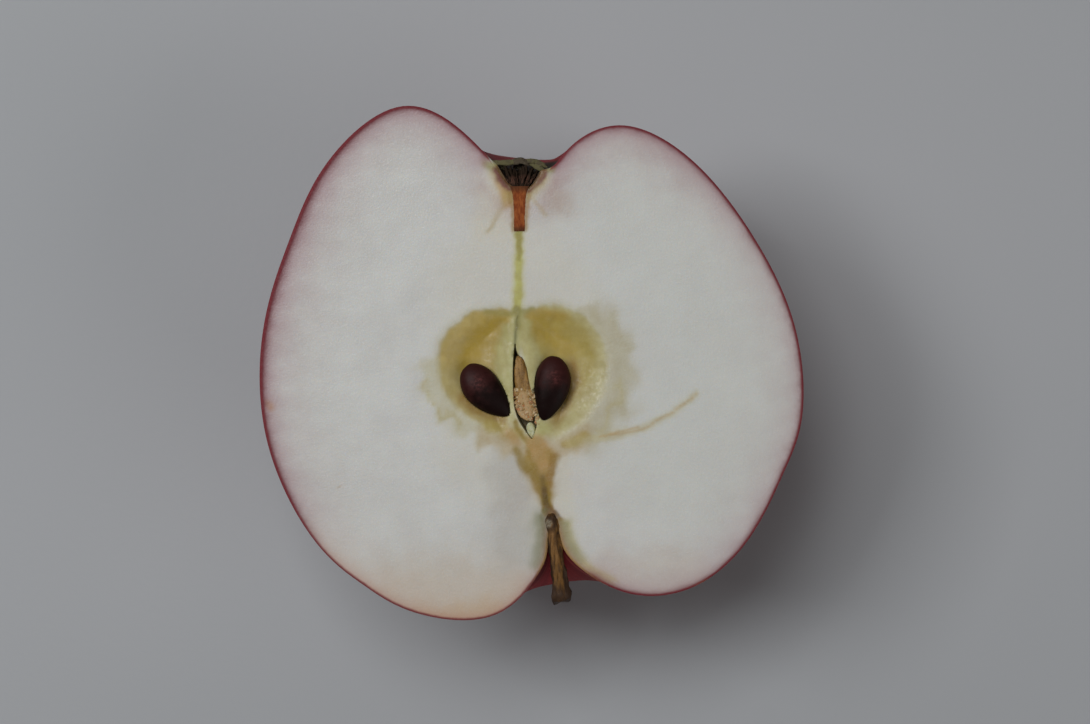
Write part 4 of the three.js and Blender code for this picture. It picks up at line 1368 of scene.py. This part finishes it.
# The sepals: how green each is, and its places as x, y, depth below the cut and half width.
SEPALS = [
    ("sepal_left", 0.8, [(-6, 28, 0.3, 0.1), (-5, 27.85, 0.35, 0.3),
                         (-4, 27.8, 0.4, 0.4), (-3, 27.85, 0.5, 0.42), (-2.2, 27.95, 0.6, 0.3)]),
    ("sepal_middle", 0.05, [(-3, 27.8, 0.9, 0.3), (-2.3, 27.95, 0.6, 0.45),
                            (-1.5, 28.1, 0.45, 0.48), (-0.8, 27.9, 0.5, 0.45),
                            (-0.2, 27.6, 0.8, 0.3)]),
    ("sepal_right", 0.5, [(-1, 27.95, 0.9, 0.3), (-0.1, 28.05, 0.6, 0.4),
                          (0.9, 27.85, 0.5, 0.42), (1.7, 27.5, 0.45, 0.35),
                          (2.3, 27.1, 0.5, 0.12)]),
    ("sepal_right_fold", 0.95, [(-0.2, 27.7, 0.9, 0.25), (0.5, 27.4, 0.5, 0.36),
                                (1.2, 27.05, 0.35, 0.38), (1.8, 26.75, 0.4, 0.2)]),
    ("sepal_back_right", 0.3, [(0.8, 27, 1.8, 0.5), (0.5, 27.7, 1.7, 0.6),
                               (-0.2, 28.1, 1.3, 0.45), (-0.9, 28.2, 1, 0.2)]),
    ("sepal_back_left", 0.3, [(-4.2, 27, 1.8, 0.5), (-3.9, 27.7, 1.7, 0.6),
                              (-3.2, 28.05, 1.4, 0.45), (-2.4, 28.1, 1.1, 0.2)]),
    ("sepal_back", 0.2, [(-1.7, 27, 2.8, 0.6), (-1.7, 27.8, 2.6, 0.8),
                         (-1.6, 28.2, 2, 0.7), (-1.5, 28.2, 1.5, 0.3)]),
]


def build_flower(cut_height, colours):
    """Withered stamens that fill the pit, below the stubs of the sepals."""
    draw = np.random.default_rng(8)
    middle = STYLE_GROOVE["x"]
    strands = []
    for count in range(STAMENS):
        azimuth = math.pi * draw.uniform(0.02, 0.98)
        out = math.sqrt(draw.uniform(0, 1))
        foot, head = (near + (far - near) * out
                      for near, far in (STAMEN_FOOT_REACH, STAMEN_TIP_REACH))
        bend = draw.uniform(-0.5, 0.5)
        top = draw.uniform(*STAMEN_TIPS)
        path = []
        for t in np.linspace(0, 1, len(STAMEN_RADII)):
            radius = foot + (head - foot) * t**0.8
            swing = azimuth + bend * t
            lift = STAMEN_ROOT + (top - STAMEN_ROOT) * t + 0.2 * math.sin(9 * t + count)
            path.append((middle + radius * math.cos(swing) + 0.1 * math.sin(7 * t + 2 * count),
                         lift, cut_height - STAMEN_SINK - radius * abs(math.sin(swing)) * 0.95))
        thick = draw.uniform(0.6, 1.2)
        radii = [radius * thick for radius in STAMEN_RADII]
        strands.append(rod(path, radii, 7, "stamen"))
    flower = join(strands, "withered_stamens")
    roughen(flower, 0.35, 0.1)
    hand_over(flower, ["calyx"], flower_material(colours))


def build_sepal(name, places, freshness, cut_height, material):
    """One dry sepal: a thick, curled strip through its places, each with its half width."""
    fine = smooth_path(places, per_span=5)
    path = [(x, y, cut_height - depth) for x, y, depth, _ in fine]
    sepal = rod(path, [reach for _, _, _, reach in fine], 20, name)
    points = points_of(sepal)
    pulled = np.array(path)
    nearest = np.argmin(((points[:, None, :] - pulled[None]) ** 2).sum(2), axis=1)
    points[:, 2] = pulled[nearest, 2] + (points[:, 2] - pulled[nearest, 2]) * SEPAL_FLATNESS
    set_points(sepal, points)
    give_number(sepal, "fresh", np.full(len(points), freshness))
    soften(sepal)
    roughen(sepal, 0.8, 0.16)
    roughen(sepal, 0.22, 0.1)
    hand_over(sepal, ["calyx"], material)


def build_sepals(cut_height, colours):
    """The sepals of this half, folded over the pit and against the basin's wall."""
    material = sepal_material(colours)
    for name, freshness, places in SEPALS:
        build_sepal(name, places, freshness, cut_height, material)


def build_style(cut_height, colours):
    """The lining of the style tube, cut flush with the flesh and widening to the pit."""
    share = np.linspace(0, 1, 30)
    path = [(STYLE_GROOVE["x"], y, cut_height) for y in np.linspace(18.25, 24.5, len(share))]
    radii = 0.74 + 0.08 * share + 0.55 * share**6 + 0.02 * np.sin(13 * share)
    style = rod(path, list(radii), 32, "style_lining")
    points = points_of(style)
    above = points[:, 2] - cut_height
    points[:, 2] = cut_height + np.where(above > 0, above * 0.12, above)
    set_points(style, points)
    roughen(style, 0.4, 0.1)
    hand_over(style, ["style_column"], style_material(colours))


# ------------------------------------------------------------------ stem

# The stem: places of its middle as x, y, rise above the cut and radius.
STEM = [
    (2.75, -21.0, -0.5, 0.5), (2.8, -21.4, -0.42, 0.8), (2.78, -22.0, -0.35, 0.98),
    (2.85, -22.7, -0.3, 0.95), (3.0, -23.6, -0.25, 0.86), (3.2, -25.0, -0.15, 0.88),
    (3.42, -26.6, -0.1, 0.92), (3.65, -28.0, -0.05, 0.98), (3.87, -29.3, 0.0, 1.07),
    (4.05, -30.6, 0.03, 1.17), (4.17, -31.6, 0.05, 1.29), (4.2, -32.4, 0.05, 1.37),
    (4.2, -32.9, 0.05, 1.34), (4.2, -33.2, 0.05, 1.15),
]
STEM_KNOB = (2.35, -22.3)


def build_stem(cut_height, colours):
    """The woody stem, ridged lengthways, with a knob at its foot and a broken flared end."""
    fine = smooth_path(STEM, per_span=4)
    path = [(x, y, cut_height + rise) for x, y, rise, _ in fine]
    radii = [radius for _, _, _, radius in fine]
    stem = rod(path, radii, 36, "stem_wood")
    points = points_of(stem)
    middle_x = np.interp(-points[:, 1], -fine[:, 1], fine[:, 0])
    middle_z = cut_height + np.interp(-points[:, 1], -fine[:, 1], fine[:, 2])
    out_x, out_z = points[:, 0] - middle_x, points[:, 2] - middle_z
    turn = np.arctan2(out_z, out_x)
    along = points[:, 1]
    ridges = 0.075 * np.sin(6 * turn + 0.25 * along) + 0.05 * np.sin(11 * turn - 0.5 * along)
    dents = 0.05 * np.sin(1.9 * along + 2 * turn) + 0.04 * np.sin(4.1 * along + turn)
    swell = 1 + ridges + dents
    points[:, 0] = middle_x + out_x * swell
    points[:, 2] = middle_z + out_z * swell
    end = ease(-32.5, -33.2, along)
    points[:, 1] += end * (0.14 * np.sin(3 * turn) + 0.1 * np.cos(turn))
    set_points(stem, points)
    right_flank = ease(0.1, 0.8, np.cos(turn)) * (0.4 + 0.6 * ease(-27, -30, along))
    left_flank = ease(-0.55, -0.9, np.cos(turn))
    give_number(stem, "flank", np.maximum(right_flank, left_flank))
    give_number(stem, "broken", ease(-30.4, -32, along + 0.8 * np.cos(turn)))
    near_knob = np.hypot(points[:, 0] - STEM_KNOB[0], points[:, 1] - STEM_KNOB[1])
    give_number(stem, "knob", 1 - ease(0.35, 0.7, near_knob))
    ring = ease(0.5, 0.8, near_knob) * ease(1.7, 1, near_knob)
    give_number(stem, "ring", np.maximum(ring, ease(-22.4, -21.4, along)))
    roughen(stem, 0.5, 0.14)
    hand_over(stem, ["stem"], bark_material(colours))


# ------------------------------------------------------------------ stage


# The lamps: place and size in millimetres, and colour. All face the middle of the table.
LAMPS = {
    "window": ((-539, 196, 819), 360, (1, 1, 1)),
    "high_window": ((-171, 296, 940), 360, (1, 1, 1)),
    "fill": ((709, -410, 574), 700, (1, 0.96, 0.94)),
}
ROOM_COLOUR = (0.93, 0.97, 1, 1)
CAMERA_PLACE = (1.9, 0.1)


def add_light(name, power):
    """A soft square lamp that faces the middle of the table."""
    place, size, colour = LAMPS[name]
    start_fresh()
    bpy.ops.object.light_add(type="AREA", location=[v * MM for v in place])
    lamp = bpy.context.object
    lamp.name = name
    lamp.data.size = size * MM
    lamp.data.energy = power
    lamp.data.color = colour
    lamp.rotation_euler = (-Vector(place)).to_track_quat("-Z", "Y").to_euler()


def build_stage(stage, cut_height):
    """A pale table, soft window light from the upper left, faint fill light and the camera."""
    start_fresh()
    bpy.ops.mesh.primitive_plane_add(size=stage.table_size)
    table = bpy.context.object
    table.name = "table_top"
    table.data.materials.append(table_material(bpy.context.scene.apple_colours))
    add_light("window", stage.window_power)
    add_light("high_window", stage.high_window_power)
    add_light("fill", stage.fill_power)
    world = bpy.data.worlds.new("room")
    world.use_nodes = True
    back = world.node_tree.nodes["Background"]
    back.inputs["Color"].default_value = ROOM_COLOUR
    back.inputs["Strength"].default_value = stage.room_light
    bpy.context.scene.world = world
    start_fresh()
    height = cut_height * MM + stage.camera_height
    bpy.ops.object.camera_add(location=(*[v * MM for v in CAMERA_PLACE], height))
    camera = bpy.context.object
    camera.name = "camera"
    camera.data.lens = stage.camera_lens
    camera.data.sensor_width = 36
    camera.data.clip_start = 0.01
    bpy.context.scene.camera = camera
    bpy.context.scene.view_settings.view_transform = "Standard"


# ------------------------------------------------------------------ properties


def colour_property(name, description, default):
    """A colour that a user can change."""
    return bpy.props.FloatVectorProperty(
        name=name, description=description, default=default, size=3, min=0, max=1,
        subtype="COLOR")


def length_property(name, description, default):
    """A size that a user can change, in metres."""
    return bpy.props.FloatProperty(
        name=name, description=description, default=default, min=0, unit="LENGTH",
        precision=5)


class AppleSizes(bpy.types.PropertyGroup):
    """Sizes of the apple half."""

    half_depth: length_property("Half depth", "From the cut face to the round back", 0.0359)
    rest_flat_depth: length_property("Rest flat depth", "How much the back is pressed flat", 0.0003)
    skin_thickness: length_property("Skin thickness", "Width of the skin at the cut", 0.0003)
    grain_height: length_property("Grain height", "Height of the cells of the flesh", 0.00002)


class AppleColours(bpy.types.PropertyGroup):
    """Colours of the apple half and its table."""

    flesh: colour_property("Flesh", "Flesh away from the core", FLESH)
    flesh_shadow: colour_property("Flesh shadow", "Deeper spots of the stained core",
                                  tone(126, 108, 52))
    skin: colour_property("Skin", "Ripe skin", (0.36, 0.022, 0.026))
    skin_dark: colour_property("Skin streaks", "Dark streaks of the skin", (0.21, 0.012, 0.018))
    skin_light: colour_property("Skin light", "Paler clouds of the skin", (0.6, 0.13, 0.08))
    skin_green: colour_property("Skin green", "Skin in the stem hollow", (0.36, 0.34, 0.07))
    skin_edge: colour_property("Skin edge", "Skin where the knife cut it", tone(102, 38, 44))
    skin_fringe: colour_property("Skin fringe", "Flesh right beside the skin", tone(92, 34, 40))
    pip: colour_property("Pip", "Seed coat towards the tip", (0.011, 0.0045, 0.004))
    # Partly painted light: the lighter coat towards the blunt end.
    pip_light: colour_property("Pip light", "Seed coat towards the blunt end",
                               (0.045, 0.012, 0.011))
    # Painted highlight: the pink sheen on the pips.
    pip_painted_sheen: colour_property("Pip sheen", "Pink bloom on the seed coat", tone(98, 52, 50))
    husk: colour_property("Husk", "Dry husk", tone(102, 74, 32))
    husk_light: colour_property("Husk light", "Paler husk", tone(138, 106, 58))
    husk_rust: colour_property("Husk rust", "Rusty spots of the husk", tone(160, 100, 62))
    crumb: colour_property("Crumb", "Pale crumbs of husk", tone(186, 164, 130))
    style: colour_property("Style", "Lining of the style tube", tone(104, 48, 22))
    style_light: colour_property("Style light", "Ribs of the style tube", tone(134, 74, 36))
    flower: colour_property("Stamens", "Withered stamens", tone(82, 56, 45))
    flower_dark: colour_property("Stamens dark", "Depth of the flower pit", tone(26, 19, 13))
    sepal: colour_property("Sepal", "Dry sepals", tone(68, 60, 48))
    sepal_green: colour_property("Sepal green", "Green side of the sepals", tone(84, 80, 54))
    sepal_down: colour_property("Sepal down", "Pale down of the sepals", tone(86, 80, 66))
    bark: colour_property("Bark", "Bark of the stem", tone(96, 66, 28))
    bark_dark: colour_property("Bark dark", "Furrows of the bark", tone(44, 28, 15))
    bark_light: colour_property("Bark light", "Ridges of the bark", tone(122, 90, 50))
    knob: colour_property("Knob", "Pale knob at the foot of the stem", tone(114, 106, 90))
    table: colour_property("Table", "Table top", tone(146, 148, 151))
    table_shade: colour_property("Table shade", "Duller parts of the table top",
                                 tone(141, 144, 147))


class AppleStage(bpy.types.PropertyGroup):
    """Table, light and camera."""

    table_size: length_property("Table size", "Side of the table top", 3)
    camera_height: length_property("Camera height", "Height above the cut face", 0.42)
    camera_lens: bpy.props.FloatProperty(
        name="Camera lens", description="Focal length", default=99.9, unit="CAMERA")
    window_power: bpy.props.FloatProperty(
        name="Window power", description="Strength of the window light", default=2.95)
    high_window_power: bpy.props.FloatProperty(
        name="High window power", description="Strength of the light from above", default=2.2)
    fill_power: bpy.props.FloatProperty(
        name="Fill power", description="Strength of the faint light from the right",
        default=1.7)
    room_light: bpy.props.FloatProperty(
        name="Room light", description="Strength of the light all round", default=0.03)


# ------------------------------------------------------------------ operators


def cut_height_of(context):
    """Height of the cut face above the table in millimetres."""
    sizes = context.scene.apple_sizes
    return (sizes.half_depth - sizes.rest_flat_depth) / MM


class APPLE_OT_flesh(bpy.types.Operator):
    """Model the flesh and skin of the apple half"""

    bl_idname = "apple.flesh"
    bl_label = "Flesh and skin"

    def execute(self, context):
        build_apple(context.scene.apple_sizes, context.scene.apple_colours)
        return {"FINISHED"}


class APPLE_OT_pips(bpy.types.Operator):
    """Model the two ripe pips and the unripe one"""

    bl_idname = "apple.pips"
    bl_label = "Pips"

    def execute(self, context):
        height = cut_height_of(context)
        coat = pip_material(context.scene.apple_colours)
        for pip, node in ((LEFT_PIP, "seed_left"), (RIGHT_PIP, "seed_right")):
            made = build_pip(pip, node.replace("seed", "pip"), height)
            hand_over(made, [node], coat)
        made = build_pip(UNRIPE_PIP, "pip_unripe", height)
        hand_over(made, ["aborted_seed"], unripe_material())
        return {"FINISHED"}


class APPLE_OT_husk(bpy.types.Operator):
    """Model the torn husk between the seed chambers"""

    bl_idname = "apple.husk"
    bl_label = "Core husk"

    def execute(self, context):
        build_husk(cut_height_of(context), context.scene.apple_colours)
        return {"FINISHED"}


class APPLE_OT_flower(bpy.types.Operator):
    """Model the dried flower: stamens, sepals and the lining of the style tube"""

    bl_idname = "apple.flower"
    bl_label = "Dried flower"

    def execute(self, context):
        height = cut_height_of(context)
        colours = context.scene.apple_colours
        build_flower(height, colours)
        build_sepals(height, colours)
        build_style(height, colours)
        return {"FINISHED"}


class APPLE_OT_stem(bpy.types.Operator):
    """Model the stem"""

    bl_idname = "apple.stem"
    bl_label = "Stem"

    def execute(self, context):
        build_stem(cut_height_of(context), context.scene.apple_colours)
        return {"FINISHED"}


class APPLE_OT_stage(bpy.types.Operator):
    """Set up the table, the lights and the camera"""

    bl_idname = "apple.stage"
    bl_label = "Stage"

    def execute(self, context):
        build_stage(context.scene.apple_stage, cut_height_of(context))
        return {"FINISHED"}


OPERATORS = (APPLE_OT_flesh, APPLE_OT_pips, APPLE_OT_husk, APPLE_OT_flower, APPLE_OT_stem,
             APPLE_OT_stage)


class APPLE_PT_panel(bpy.types.Panel):
    """Lists the steps that model the apple half"""

    bl_idname = "APPLE_PT_panel"
    bl_label = "Apple half"
    bl_space_type = "VIEW_3D"
    bl_region_type = "UI"
    bl_category = "Apple half"

    def draw(self, context):
        for operator in OPERATORS:
            self.layout.operator(operator.bl_idname)


CLASSES = (AppleSizes, AppleColours, AppleStage, *OPERATORS, APPLE_PT_panel)


def register():
    for each in CLASSES:
        bpy.utils.register_class(each)
    bpy.types.Scene.apple_sizes = bpy.props.PointerProperty(type=AppleSizes)
    bpy.types.Scene.apple_colours = bpy.props.PointerProperty(type=AppleColours)
    bpy.types.Scene.apple_stage = bpy.props.PointerProperty(type=AppleStage)


def unregister():
    del bpy.types.Scene.apple_stage
    del bpy.types.Scene.apple_colours
    del bpy.types.Scene.apple_sizes
    for each in reversed(CLASSES):
        bpy.utils.unregister_class(each)


def main():
    """Registers the add-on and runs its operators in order."""
    register()
    bpy.ops.apple.flesh()
    bpy.ops.apple.pips()
    bpy.ops.apple.husk()
    bpy.ops.apple.flower()
    bpy.ops.apple.stem()
    bpy.ops.apple.stage()


if __name__ == "__main__":
    main()
